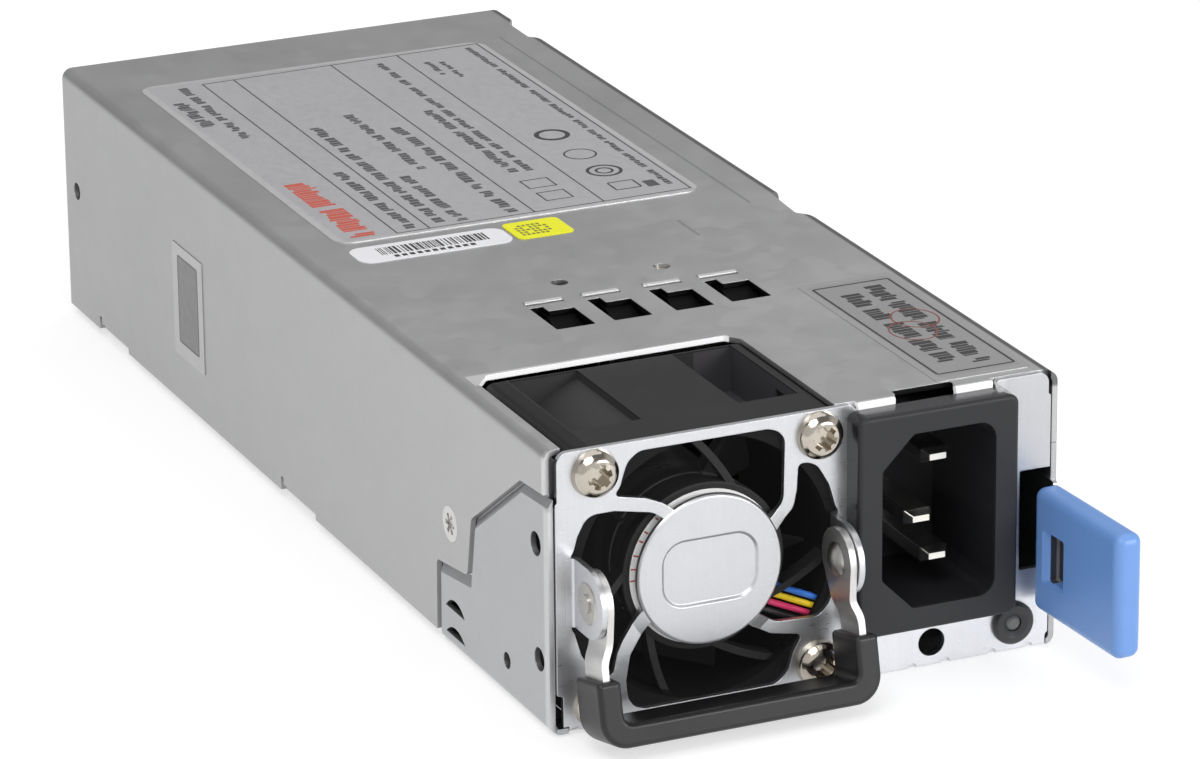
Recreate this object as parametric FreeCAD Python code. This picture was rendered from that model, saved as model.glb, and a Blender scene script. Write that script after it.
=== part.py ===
import FreeCAD, Part
import math
import os
from FreeCAD import Vector as V

# Hot swap server power supply, redundant "common slot" form factor.
# Frame: +Z up, +Y towards the card edge at the rear, +X to the right seen from
# the front (fan) end. The origin is the centre of the chassis's bottom face.
# All lengths are millimetres.

# ---------------------------------------------------------------- dimensions
BODY_W = 73.5          # sheet-metal box, outside
BODY_H = 39.0
BODY_L = 185.0
T = 0.8                # galvanised sheet
GAP = 0.1              # air between the cover and the base walls
XL, XR = -BODY_W / 2, BODY_W / 2
YF, YB = -BODY_L / 2, BODY_L / 2
ZT = BODY_H
BEND = 1.6             # outside bend radius of the cover

FAN = 38.0             # square fan, 28 deep
FAN_D = 28.0
FX, FZ = -14.6, 19.5   # fan axis
FAN_X = FX + 0.3       # the fan and its four screws sit a little to the right of the handle's middle
FY0 = -91.7            # front face of the fan frame
FY1 = FY0 + FAN_D
FAN_BORE = 17.8
FAN_PITCH = 32.0
MOTOR_R = 11.6
DISC_R = 10.4          # solid disc in the middle of the finger guard

PIV_Y, PIV_Z = -96.6, 19.5   # handle pivot line, along X
TILT = 13.0                  # rest angle of the handle, degrees out from vertical
STRAP_T = 0.95
STRAP_W = 5.5
EAR_OUT = 18.7               # outer face of each ear from the fan axis
EAR_R = 4.75

IN_X0, IN_X1 = 5.75, 29.2    # inlet flange
IN_Z0, IN_Z1 = 7.05, 38.0
IN_FACE = -96.2
REC_X0, REC_X1 = 9.1, 25.8   # inlet recess, 16.7 x 24.5
REC_Z0, REC_Z1 = 10.4, 34.9
REC_FLOOR = -78.0

LEAF_Y = -40.0               # fixed end of the latch leaf
LEAF_X0, LEAF_X1 = 35.25, 35.85
LEAF_Z0, LEAF_Z1 = 12.2, 22.2

LED_X, LED_Z = 30.45, 4.12    # indicator lamp

PCB_Z0, PCB_Z1 = 4.0, 5.6
TONGUE_Y = 103.0             # end of the card edge

os.makedirs("parts", exist_ok=True)
NODES = {}


# ------------------------------------------------------------------- helpers
def save(name, shape):
    solids = shape.Solids
    if len(solids) == 1:
        shape = solids[0]
    else:
        shape = Part.makeCompound(solids)
    if not shape.isValid():
        print("NOT VALID", name)
    NODES[name] = shape
    shape.exportStep("parts/%s.step" % name)
    b = shape.BoundBox
    print("%-24s %3d solid %9.1f mm3  X %.2f %.2f  Y %.2f %.2f  Z %.2f %.2f" % (
        name, len(solids), shape.Volume, b.XMin, b.XMax, b.YMin, b.YMax, b.ZMin, b.ZMax))


def box(x0, x1, y0, y1, z0, z1):
    return Part.makeBox(x1 - x0, y1 - y0, z1 - z0, V(x0, y0, z0))


def cx(x0, x1, y, z, r):
    return Part.makeCylinder(r, x1 - x0, V(x0, y, z), V(1, 0, 0))


def cy(x, y0, y1, z, r):
    return Part.makeCylinder(r, y1 - y0, V(x, y0, z), V(0, 1, 0))


def cz(x, y, z0, z1, r):
    return Part.makeCylinder(r, z1 - z0, V(x, y, z0), V(0, 0, 1))


def outline(points, to3d):
    """Closed wire; each point is (a, b) or (a, b, corner radius)."""
    n = len(points)
    first, last, mid = [], [], []
    for i in range(n):
        p0, p, p1 = points[i - 1], points[i], points[(i + 1) % n]
        r = p[2] if len(p) > 2 else 0.0
        if r <= 0:
            first.append(p[:2])
            last.append(p[:2])
            mid.append(None)
            continue
        ax, ay = p0[0] - p[0], p0[1] - p[1]
        bx, by = p1[0] - p[0], p1[1] - p[1]
        la, lb = math.hypot(ax, ay), math.hypot(bx, by)
        ax, ay, bx, by = ax / la, ay / la, bx / lb, by / lb
        ang = math.acos(max(-1.0, min(1.0, ax * bx + ay * by)))
        t = min(r / math.tan(ang / 2), 0.49 * la, 0.49 * lb)
        r = t * math.tan(ang / 2)
        hx, hy = ax + bx, ay + by
        hl = math.hypot(hx, hy)
        hx, hy = hx / hl, hy / hl
        d = r / math.sin(ang / 2)
        first.append((p[0] + ax * t, p[1] + ay * t))
        last.append((p[0] + bx * t, p[1] + by * t))
        mid.append((p[0] + hx * (d - r), p[1] + hy * (d - r)))
    edges = []
    for i in range(n):
        if mid[i]:
            edges.append(Part.Arc(to3d(*first[i]), to3d(*mid[i]), to3d(*last[i])).toShape())
        a, b = last[i], first[(i + 1) % n]
        if math.hypot(b[0] - a[0], b[1] - a[1]) > 1e-6:
            edges.append(Part.LineSegment(to3d(*a), to3d(*b)).toShape())
    return Part.Wire(edges)


def prism(points, plane, lo, hi):
    if plane == "xy":
        return Part.Face(outline(points, lambda a, b: V(a, b, lo))).extrude(V(0, 0, hi - lo))
    if plane == "xz":
        return Part.Face(outline(points, lambda a, b: V(a, lo, b))).extrude(V(0, hi - lo, 0))
    return Part.Face(outline(points, lambda a, b: V(lo, a, b))).extrude(V(hi - lo, 0, 0))


def rrect(a0, a1, b0, b1, r):
    return [(a0, b0, r), (a1, b0, r), (a1, b1, r), (a0, b1, r)]


def inset(points, d):
    """Offset a closed counter-clockwise or clockwise outline inwards by d."""
    area = 0.0
    n = len(points)
    for i in range(n):
        x0, y0 = points[i][:2]
        x1, y1 = points[(i + 1) % n][:2]
        area += x0 * y1 - x1 * y0
    s = 1.0 if area > 0 else -1.0
    lines = []
    for i in range(n):
        x0, y0 = points[i][:2]
        x1, y1 = points[(i + 1) % n][:2]
        dx, dy = x1 - x0, y1 - y0
        l = math.hypot(dx, dy)
        nx, ny = -dy / l * s, dx / l * s
        lines.append((x0 + nx * d, y0 + ny * d, dx / l, dy / l))
    out = []
    for i in range(n):
        ax, ay, adx, ady = lines[i - 1]
        bx, by, bdx, bdy = lines[i]
        den = adx * bdy - ady * bdx
        t = ((bx - ax) * bdy - (by - ay) * bdx) / den
        out.append((ax + adx * t, ay + ady * t))
    return out


def fuse(shapes):
    s = shapes[0]
    if len(shapes) > 1:
        s = s.multiFuse(shapes[1:])
    return s.removeSplitter()


def cut(s, shapes):
    for c in shapes:
        s = s.cut(c)
    return s


def round_edges(s, r, pick=None):
    edges = [e for e in s.Edges if pick is None or pick(e)]
    try:
        f = s.makeFillet(r, edges)
        if f.isValid() and f.Volume > 0:
            return f
    except Exception:
        pass
    print("   fillet %.2f left off" % r)
    return s


def run(points, radius, r):
    """Round bar along straight runs joined by tangent arcs."""
    pts = [V(*p) for p in points]
    edges = []
    cur = pts[0]
    for i in range(1, len(pts) - 1):
        a = (pts[i - 1] - pts[i]).normalize()
        b = (pts[i + 1] - pts[i]).normalize()
        ang = a.getAngle(b)
        lim = min((pts[i - 1] - pts[i]).Length, (pts[i + 1] - pts[i]).Length) * 0.48
        t = min(radius / math.tan(ang / 2), lim)
        rr = t * math.tan(ang / 2)
        h = (a + b).normalize()
        s, e = pts[i] + a * t, pts[i] + b * t
        m = pts[i] + h * (rr / math.sin(ang / 2) - rr)
        if (s - cur).Length > 1e-6:
            edges.append(Part.LineSegment(cur, s).toShape())
        edges.append(Part.Arc(s, m, e).toShape())
        cur = e
    edges.append(Part.LineSegment(cur, pts[-1]).toShape())
    path = Part.Wire(edges)
    circle = Part.Wire([Part.makeCircle(r, pts[0], pts[1] - pts[0])])
    return path.makePipeShell([circle], True, False)


def spun(s, centre, axis, deg):
    c = s.copy()
    c.rotate(centre, axis, deg)
    return c


def revolve_y(profile, x, z):
    """Profile of (radius, y) points turned about the line along Y at x, z."""
    f = Part.Face(outline(profile, lambda a, b: V(x + a, b, z)))
    return f.revolve(V(x, 0, z), V(0, 1, 0), 360)


# ============================================================ 1  base chassis
# A U of sheet: bottom, left wall one sheet inside the cover's flank, right wall
# flush with the outside and joggled in under the cover's short right flange.
xo = XL + T + GAP
xi = xo + T
xr = XR - T - GAP
base = prism([(xo, 37.4), (xo, 0, 1.4), (XR, 0, 1.4), (XR, 29.2, .4), (xr, 30.7, .4),
              (xr, 37.4), (xr - T, 37.4), (xr - T, 30.4, .4), (XR - T, 28.9, .4),
              (XR - T, T, .6), (xi, T, .6), (xi, 37.4)], "xz", YF, YB)

# Outline of the cover's left flank where the base shows at the front (Y, Z).
SEAM = [(-54.3, -3), (-54.6, 11.2), (-65.15, 12.6), (-66.7, 21.1), (-83.3, 32.4),
        (-95, 33.2), (-95, -3)]


def joggle(shift):
    a = inset(SEAM, 0.30)
    b = inset(SEAM, 1.55)
    wa = outline(a, lambda y, z: V(xo + shift, y, z))
    wb = outline(b, lambda y, z: V(XL + shift, y, z))
    s = Part.makeLoft([wa, wb], True, True)
    if s.Volume < 0:
        s.reverse()
    return s


pad_env = prism([(XL, 50), (XL, 0, 1.4), (0, 0), (0, 50)], "xz", YF, -50)
pad = joggle(0.0).common(pad_env)
well = joggle(T).common(prism([(XL + T, 50), (XL + T, T, .6), (0, T), (0, 50)], "xz", YF - 1, -50))
skirt = prism([(XL, 4), (XL, 0, 1.4), (-33, 0), (-33, T), (XL + T, T, .6), (XL + T, 4)], "xz", YF, -56.0)
base = fuse([base, pad, skirt])
base = cut(base, [well, box(XL + T + .62, -34.3, YF - 1, -56.4, T, 1.45)])

base_cuts = [
    cx(XL - 1, XL + 3, -88.15, 25.35, 1.65),
    cx(XL - 1, XL + 3, -88.9, 9.5, 1.6),
    cx(XL - 1, XL + 3, -78.2, 5.3, 1.15),
    cx(XL - 1, XL + 3, -59.5, 17.9, 1.3),
    cx(XL - 1, XL + 3, 87.6, 20.7, 1.35),
    # fan window in the bottom, and the room for the front panel's foot
    prism([(-32.8, -95), (-32.8, -63.2), (-31.2, -61.5), (2.3, -61.5), (4.3, -63.6), (4.3, -95)],
          "xy", -1, T + .05),
    box(4.2, 35.6, YF - 1, -86.0, -1, 2.2),
    box(-34.3, -32.7, YF - 1, YF + T + .05, -1, T + .05),
    # latch hook window and its two rivet holes
    box(XR - 3, XR + 1, -80.5, -66.0, 13.0, 22.0),
    cx(XR - 3, XR + 1, -44, 14.8, 1.0),
    cx(XR - 3, XR + 1, -44, 19.8, 1.0),
    # right cover screw
    cx(XR - 3, XR + 1, -59.5, 34.6, 1.3),
    # at the front end the right wall stays flush and stops below the cover's flange
    box(34.9, XR + 1, YF - 1, YF + 6.0, 28.75, 40),
    # the inner wall stops short of the front panel above the pad
    box(xo - .1, xi + .1, YF - 1, -90.6, 31.2, 40),
    # the pad ends a little behind the panel's face
    box(XL - 1, -35.9, YF - 1, -92.1, -1, 34),
]
# two lanced half-moon slots, flat side down
for z0, top in ((5.7, 7.2), (1.95, 3.25)):
    e1 = Part.Arc(V(XL - 1, -57.6, z0), V(XL - 1, -61.2, top), V(XL - 1, -64.0, z0)).toShape()
    e2 = Part.LineSegment(V(XL - 1, -64.0, z0), V(XL - 1, -57.6, z0)).toShape()
    base_cuts.append(Part.Face(Part.Wire([e1, e2])).extrude(V(3, 0, 0)))
base = cut(base, base_cuts)
base = base.removeSplitter()
save("base_chassis", base)

# ============================================================== 2  top cover
cover = prism([(XL, 1.0), (XL, ZT, BEND), (XR, ZT, BEND), (XR, 31.0), (XR - T, 31.0),
               (XR - T, ZT - T, BEND - T), (XL + T, ZT - T, BEND - T), (XL + T, 1.0)], "xz", YF, YB)
VENTS = ((-16.45, -10.7), (-7.9, -2.25), (1.3, 7.0), (9.65, 15.6))
seam_cut = [(y, z, r) for (y, z), r in zip(SEAM, (0, 1.0, 1.0, 1.4, 1.4, 0, 0))]
cover_cuts = [
    prism(seam_cut, "yz", XL - 1, XL + T + .3),
    # fan window, open to the front
    prism([(-34.4, -95), (-34.4, -64.7), (-32.1, -61.8, .5), (2.7, -61.4, .5), (4.3, -63.4), (4.3, -95)],
          "xy", ZT - T - .3, ZT + 1),
    # set-backs of the right edge, and of the front edge behind the panel
    prism([(XR + 1, 88.5), (XR, 88.5), (34.5, 84.3, .7), (34.4, 76.6, .8), (XR, 74.6), (XR + 1, 74.6)], "xy", 30, 40),
    prism([(XR + 1, -8.0), (XR, -8.0), (34.8, -9.4, .5), (34.1, -18.9, .9), (XR, -21.9), (XR + 1, -21.7)],
          "xy", 30, 40),
    box(-35.6, 7.4, YF - 1, -91.6, ZT - T - .1, ZT + 1),
    # the left flank and its bend stop short of the panel
    box(XL - 1, -34.3, YF - 1, -91.0, -1, ZT + 1),
    box(7.3, 35.75, YF - 1, -91.6, ZT - T - .3, ZT + 1),
    # slot in the front edge over the inlet
    prism([(12.9, -95), (13.2, -90.3, .4), (21.9, -90.3, .4), (21.6, -95)], "xy", ZT - T - .1, ZT + 1),
    # two small holes behind the vents, two rim notches with their corner reliefs
    cz(-8.3, -31.9, ZT - 2, ZT + 1, 1.2),
    cz(7.2, -31.8, ZT - 2, ZT + 1, 1.2),
    box(XL - 1, XL + T + .1, 66.6, 78.4, 0, 2.1),
    box(XL - 1, XL + T + .1, 78.3, 79.3, 0, 3.1),
    box(XL - 1, XL + T + .1, -10.1, 2.3, 0, 2.1),
    box(XL - 1, XL + T + .1, 2.2, 3.2, 0, 3.1),
    cx(XL - 1, XL + T + .1, 87.6, 20.7, 1.35),
    # countersunk seats for the two cover screws
    Part.makeCone(2.6, 1.4, 1.0, V(XL - .05, -59.5, 17.9), V(1, 0, 0)),
    Part.makeCone(2.6, 1.4, 1.0, V(XR + .05, -59.5, 34.6), V(-1, 0, 0)),
]
beads = []
for x0, x1 in VENTS:
    cover_cuts.append(prism([(x0, -40.0), (x0 + 2.0, -40.0), (x0 + 2.0, -42.05, .3), (x1, -42.05),
                             (x1, -49.5, .3), (x0, -49.5, .3)], "xy", ZT - T - .1, ZT + 1))
    cover_cuts.append(box(x0, x1, -39.15, -38.5, ZT - T - .1, ZT + 1))
    # raised lip behind each slit
    lip = cx(x0 + .1, x1 - .1, -38.05, ZT - .15, .45)
    beads.append(lip.common(box(x0, x1, -38.5, -37, ZT - .5, ZT + 1)))
cover = cut(cover, cover_cuts)
# front edge rolled down in two lips, one on each side of the slot
lips = [prism([(YF, ZT - 1.3), (YF, ZT, .8), (-91.4, ZT), (-91.4, ZT - T), (YF + T, ZT - T, .1), (YF + T, ZT - 1.3)],
              "yz", x0, x1) for x0, x1 in ((7.4, 12.8), (21.7, 27.1))]
# the right flange reaches further down at its front end
heel = box(XR - T, XR, YF, YF + 5.9, 28.85, 31.3)
cover = fuse([cover, heel] + beads + lips)
save("top_cover", cover)

# ============================================================ 3  front panel
panel = prism([(-34.2, .3), (-34.2, .95), (-35.0, .95), (-35.0, 5.2, .3), (-35.85, 5.5, .2), (-35.85, 31.9),
               (-35.6, 32.2), (-35.6, 38.9, 1.6), (7.26, 38.9, 1.5), (7.26, 8.5), (29.6, 8.5),
               (29.6, 36.9), (27.5, 37.2), (27.5, 38.9, 1.0), (35.45, 38.9, 1.6), (35.45, 35.9, .1),
               (35.8, 35.6, .2), (35.8, 25.5), (31.3, 25.5, .3), (31.3, 11.4, .3),
               (35.8, 11.4), (35.8, 1.9), (35.45, 1.6), (35.45, .3, .5)], "xz", YF, YF + T)


def soft(points):
    """Corners run into one another, but stay tight at the ears' roots and the hub."""
    out = []
    for a, b in points:
        tight = abs(a) > 18.5 or (a == 0 and b == 0)
        out.append((FX + a, FZ + b, .25 if tight else 2.4))
    return out


guard = [
    [(-13.0, 12.3), (-12.1, 13.5), (-11.6, 15.2), (-11.0, 16.8), (-9.4, 18.0), (8.9, 18.0), (10.4, 17.5),
     (11.4, 16.3), (11.2, 7.5), (9.5, 6.0), (0, 0), (-4.4, 9.0), (-6.0, 10.2), (-8.5, 11.3)],
    [(13.3, 12.5), (14.8, 12.4), (16.1, 11.8), (17.8, 8.9), (18.7, 5.8), (19.1, 5.1), (19.1, -5.1),
     (18.7, -5.8), (17.8, -7.9), (16.3, -9.5), (10.0, -9.1), (7.8, -7.7), (0, 0), (9.8, 3.8), (12.6, 6.5), (13.1, 8.9)],
    [(-16.8, 10.3), (-18.2, 7.6), (-18.7, 5.8), (-19.1, 5.1), (-19.1, -5.1), (-18.7, -5.8), (-17.8, -8.9),
     (-16.1, -11.8), (-14.8, -12.4), (-13.3, -12.5), (-12.7, -9.6), (-11.9, -7.9), (-9.4, -4.1), (0, 0),
     (-6.2, 8.3), (-7.5, 9.2), (-12.9, 10.3)],
    [(13.7, -12.0), (12.6, -14.0), (11.9, -16.4), (10.2, -18.0), (-8.9, -18.0), (-10.3, -17.5), (-11.3, -16.0),
     (-11.5, -13.6), (-10.9, -10.1), (-8.5, -6.2), (0, 0), (6.1, -8.8), (9.3, -10.6), (13.4, -11.4)],
]
CUP_X, CUP_Z = FX + .33, FZ + .15   # middle of the disc
for g in guard:
    hole = prism(soft(g), "xz", YF - 1, YF + T + 1).cut(cy(CUP_X, YF - 2, YF + T + 2, CUP_Z, DISC_R - 1.6))
    panel = panel.cut(hole)
panel = panel.cut(cy(CUP_X, YF - 1, YF + T + 1, CUP_Z, DISC_R - 2.4))
for sx in (-1, 1):
    for sz in (-1, 1):
        panel = panel.cut(cy(FAN_X + sx * FAN_PITCH / 2, YF - 1, YF + 2, FZ + sz * FAN_PITCH / 2, 1.75))
# disc drawn forward in the middle of the guard, its face 0.7 proud, with an oblong recess
cup = revolve_y([(0, -93.2), (DISC_R - .3, -93.2, .25), (DISC_R, -92.9, .25), (DISC_R, -92.35, .1), (0, -92.35)],
                CUP_X, CUP_Z)


def stadium(y, a, b):
    return outline(rrect(CUP_X - a, CUP_X + a, CUP_Z - b, CUP_Z + b, b - 1.4), lambda x, z: V(x, y, z))


cup = cup.cut(Part.makeLoft([stadium(-93.23, 6.95, 4.75), stadium(-92.88, 6.55, 4.35)], True, True))
# the four spokes ramp up to the disc over their last two millimetres
ramps = cy(CUP_X, -92.95, YF + .3, CUP_Z, DISC_R + 2.2).cut(cy(CUP_X, -94, -91, CUP_Z, DISC_R - 1.5))
for g in guard:
    ramps = ramps.cut(prism(soft(g), "xz", -94, -91))
ramps = ramps.common(revolve_y([(DISC_R - 1.5, -92.95), (DISC_R + .05, -92.95), (DISC_R + 1.9, YF), (DISC_R + 1.9, YF + .3),
                                (DISC_R - 1.5, YF + .3)], CUP_X, CUP_Z)).Solids


# handle ears, bent forward out of the guard's side openings
def ear(side):
    s = side
    x_in = EAR_OUT - T
    pts = [(x_in, -101.5), (EAR_OUT, -101.5), (EAR_OUT, YF - .4), ]
    a = V(FX + s * EAR_OUT, YF - .4, 0)
    prof = Part.Wire([
        Part.LineSegment(V(FX + s * x_in, -101.5, 0), V(FX + s * EAR_OUT, -101.5, 0)).toShape(),
        Part.LineSegment(V(FX + s * EAR_OUT, -101.5, 0), V(FX + s * EAR_OUT, YF - .4, 0)).toShape(),
        Part.Arc(V(FX + s * EAR_OUT, YF - .4, 0),
                 V(FX + s * (EAR_OUT + .4 - .4 * math.cos(math.pi / 4)), YF - .4 + .4 * math.sin(math.pi / 4), 0),
                 V(FX + s * (EAR_OUT + .4), YF, 0)).toShape(),
        Part.LineSegment(V(FX + s * (EAR_OUT + .4), YF, 0), V(FX + s * (EAR_OUT + 1.2), YF, 0)).toShape(),
        Part.LineSegment(V(FX + s * (EAR_OUT + 1.2), YF, 0), V(FX + s * (EAR_OUT + 1.2), YF + T, 0)).toShape(),
        Part.LineSegment(V(FX + s * (EAR_OUT + 1.2), YF + T, 0), V(FX + s * (EAR_OUT + .4), YF + T, 0)).toShape(),
        Part.Arc(V(FX + s * (EAR_OUT + .4), YF + T, 0),
                 V(FX + s * (EAR_OUT + .4 - 1.2 * math.cos(math.pi / 4)), YF - .4 + 1.2 * math.sin(math.pi / 4), 0),
                 V(FX + s * x_in, YF - .4, 0)).toShape(),
        Part.LineSegment(V(FX + s * x_in, YF - .4, 0), V(FX + s * x_in, -101.5, 0)).toShape()])
    body = Part.Face(prof).extrude(V(0, 0, 40))
    if body.Volume < 0:
        body.reverse()
    side_view = prism([(YF + 1, PIV_Z - EAR_R), (YF + 1, PIV_Z + EAR_R), (PIV_Y, PIV_Z + EAR_R),
                       (PIV_Y, PIV_Z - EAR_R)], "yz", -40, 10)
    side_view = side_view.fuse(cx(-40, 10, PIV_Y, PIV_Z, EAR_R))
    e = body.common(side_view)
    return e.cut(cx(-40, 10, PIV_Y, PIV_Z, 1.3))


# foot: the bottom edge is bent back under the inlet and joggled over the base
foot = prism([(YF, 2.0), (YF, 0, .45), (-86.1, 0), (-86.1, T), (YF + T, T, .1), (YF + T, 2.0)], "yz", 5.0, 35.4)
step = prism([(-89.4, .75), (-87.4, .75), (-86.6, .9), (-80, .9), (-80, 1.7), (-87.2, 1.7)], "yz", 8.0, 33.0)
panel = panel.cut(box(4.9, 35.9, YF - 1, YF + T + 1, -1, 1.3))
# retainer hole and the lamp's hole, and small notches in the bottom edge
holes = [cy(18.4, YF - 1, YF + T + 1, 3.4, 1.95), cy(LED_X, YF - 1, YF + T + 1, LED_Z, 2.45)]
panel = cut(panel, holes + [box(-33.9, -32.9, YF - 1, YF + T + 1, -.5, .65)])
foot = cut(foot, holes + [cy(x, YF - 1, YF + .78, .12, .68) for x in (15.6, 20.6, 27.5, 32.9)])
for piece in [cup] + ramps + [foot, step]:
    panel = panel.fuse(piece)
ears = [ear(-1), ear(1)]
panel = cut(panel, ears).removeSplitter()
save("front_panel", panel)
save("handle_ears", Part.makeCompound(ears))

# ============================================================= 4  rear panel
rear = fuse([prism([(-34.95, .85, .9), (34.95, .85, .9), (34.95, 38.1, .9), (-34.95, 38.1, .9)], "xz", YB - T, YB),
             box(-34.95, -34.15, 84, YB - T + .01, 3, 37),
             box(34.15, 34.95, 84, YB - T + .01, 3, 28)])
rear_cuts = [prism(rrect(-30.6, 30.6, 2.4, 7.4, .6), "xz", YB - 2, YB + 1),
             cx(-36, -33, 87.6, 20.7, 1.35)]
rows = 6
for j in range(rows):
    n = 14 if j % 2 == 0 else 13
    for i in range(n):
        x = (i - (n - 1) / 2.0) * 4.6
        rear_cuts.append(cy(x, YB - 2, YB + 1, 12.3 + j * 4.2, 1.75))
rear = rear.cut(Part.makeCompound(rear_cuts))
save("rear_panel", rear)

# ================================================== 5-8  liner and fastenings
POSTS = ((-29.5, -54.0), (29.5, -30.0), (-29.5, 12.0), (29.5, 30.0), (-29.5, 82.0), (29.5, 82.0))
liner = box(-33.8, 33.8, -59.0, 90.0, T + .05, T + .3)
liner = cut(liner, [cz(x, y, 0, 2, 3.0) for x, y in POSTS])
save("insulation_sheet", liner)

save("pcb_standoffs", Part.makeCompound([
    cut(prism([(x + 2.75 * math.cos(math.radians(60 * k)), y + 2.75 * math.sin(math.radians(60 * k)))
               for k in range(6)], "xy", T, PCB_Z0), [cz(x, y, 0, 5, 1.25)]) for x, y in POSTS]))

screws = []
for x, y in POSTS:
    s = cz(x, y, 1.4, PCB_Z1 + .2, 1.2).fuse(
        round_edges(cz(x, y, PCB_Z1, PCB_Z1 + 1.8, 2.7), .8, lambda e: e.BoundBox.ZMin > PCB_Z1 + 1.7))
    s = s.cut(box(x - 1.6, x + 1.6, y - .35, y + .35, PCB_Z1 + .9, PCB_Z1 + 2)).cut(
        box(x - .35, x + .35, y - 1.6, y + 1.6, PCB_Z1 + .9, PCB_Z1 + 2))
    screws.append(s.removeSplitter())


def flush_screw(x, y, z, s):
    # countersunk head flush with the outside, s = +1 when it points to +X
    head = Part.makeCone(2.5, 1.25, .85, V(x, y, z), V(s, 0, 0))
    shank = Part.makeCylinder(1.25, 3.6, V(x + s * .3, y, z), V(s, 0, 0))
    f = head.fuse(shank)
    for k in range(3):
        slot = Part.makeBox(.8, 3.0, .62, V(-.4, -1.5, -.31))
        slot.rotate(V(0, 0, 0), V(1, 0, 0), 60 * k)
        slot.translate(V(x, y, z))
        f = f.cut(slot)
    return f.removeSplitter()


save("case_screws", Part.makeCompound([flush_screw(XL, -59.5, 17.9, 1), flush_screw(XR, -59.5, 34.6, -1)] + screws))

# black film under the lid; its four flaps slope down below the vents
film = box(-31.5, 31.5, -41.9, 60, ZT - T - .45, ZT - T - .05)
flaps = []
for x0, x1 in VENTS:
    f = prism([(-41.8, ZT - T - .45), (-41.8, ZT - T - .05), (-50.6, ZT - T - 3.35), (-50.6, ZT - T - 3.75)],
              "yz", x0 + 1.9, x1 + .6)
    flaps.append(f)
film = fuse([film] + flaps)
film = cut(film, [cz(-8.3, -31.9, 30, 40, 1.5), cz(7.2, -31.8, 30, 40, 1.5)] +
           [box(x0 - .3, x0 + 1.85, -42, -38.3, 30, 40) for x0, x1 in VENTS])
save("lid_insulator", film)

# ========================================================== 9-10  main board
pcb = fuse([box(-33.5, 33.5, -60, 91.0, PCB_Z0, PCB_Z1),
            prism([(-28, 90), (28, 90), (28, TONGUE_Y, 1.2), (-28, TONGUE_Y, 1.2)], "xy", PCB_Z0, PCB_Z1)])
pcb = cut(pcb, [cz(x, y, 3, 7, 1.6) for x, y in POSTS] +
          [prism([(6.2, 94.5, .8), (8.0, 94.5, .8), (8.0, 110), (6.2, 110)], "xy", 3, 7)])
save("main_board", pcb)
pads = []
for z0 in (PCB_Z0 - .1, PCB_Z1):
    for i in range(7):
        x = -26.6 + i * 4.6
        pads.append(prism(rrect(x, x + 3.9, 94.2, 102.3, .4), "xy", z0, z0 + .1))
    for i in range(12):
        x = 9.6 + i * 1.5
        pads.append(prism(rrect(x, x + 1.0, 94.2, 102.3, .3), "xy", z0, z0 + .1))
save("card_edge_contacts", Part.makeCompound(pads))

# ================================================================ 11  inlet
flange = prism(rrect(IN_X0, IN_X1, IN_Z0, IN_Z1, 1.4), "xz", IN_FACE, YF)
flange = round_edges(flange, .6, lambda e: e.BoundBox.YMax < IN_FACE + .01)


def recess(grow, y0, y1):
    g = grow
    c = 4.6
    return prism([(REC_X0 - g, REC_Z0 - g + c, .8), (REC_X0 - g + c, REC_Z0 - g, .8), (REC_X1 + g, REC_Z0 - g, 2.5),
                  (REC_X1 + g, REC_Z1 + g, 2.5), (REC_X0 - g + c, REC_Z1 + g, .8), (REC_X0 - g, REC_Z1 + g - c, .8)],
                 "xz", y0, y1)


shell = recess(1.5, YF - .5, -76.0)
housing = fuse([flange, shell])
housing = housing.cut(recess(0, IN_FACE - 1, REC_FLOOR))
# snap fingers that hold the housing behind the panel
fingers = [box(10.5, 16.0, -90.9, -84, REC_Z1 + 1.4, REC_Z1 + 2.2), box(19.0, 24.5, -90.9, -84, REC_Z0 - 2.2, REC_Z0 - 1.4)]
housing = fuse([housing] + fingers)
PIN_Z = 22.4
BLADES = ((19.4, PIN_Z + 7.0, -91.9), (19.4, PIN_Z - 7.0, -91.9), (15.4, PIN_Z, -95.0))
blades, slots = [], []
for x, z, tip in BLADES:
    b = prism([(x - 2, z - 1, .3), (x + 2, z - 1, .3), (x + 2, z + 1, .3), (x - 2, z + 1, .3)], "xz", tip + 1.2, -71.0)
    # tapered tip
    b = b.fuse(Part.makeLoft([outline(rrect(x - 2, x + 2, z - 1, z + 1, .3), lambda a, c: V(a, tip + 1.2, c)),
                              outline(rrect(x - 1.2, x + 1.2, z - .42, z + .42, .12), lambda a, c: V(a, tip, c))],
                             True, True))
    tail = box(x - 1.2, x + 1.2, -71.2, -67.5, z - .4, z + .4)
    blades.append(b.fuse(tail).removeSplitter())
    slots.append(prism([(x - 2, z - 1, .3), (x + 2, z - 1, .3), (x + 2, z + 1, .3), (x - 2, z + 1, .3)],
                       "xz", REC_FLOOR - 1, -75))
housing = cut(housing, slots)
save("inlet_housing", housing)
save("inlet_blades", Part.makeCompound(blades))

fboard = box(7.6, 27.6, -71.0, -69.4, 9.0, 36.5)
fboard = cut(fboard, [box(x - 1.3, x + 1.3, -72, -69, z - .5, z + .5) for x, z, tip in BLADES])
caps = [prism(rrect(12.6, 24.6, 18.2, 27.2, .8), "xz", -69.4, -62.8)]
caps[0] = caps[0].cut(box(11, 18.0, -70, -66.9, 20.9, 23.9))
save("inlet_board", fboard)
leads = []
for i, x in enumerate((10.6, 14.6, 18.6)):
    leads.append(run([(x, -69.4, 12.2), (x, -62.0, 12.2), (x, -57.4, 9.6), (x, -57.4, PCB_Z1)], 1.9, 1.0))
save("inlet_leads", Part.makeCompound(leads))

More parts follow.
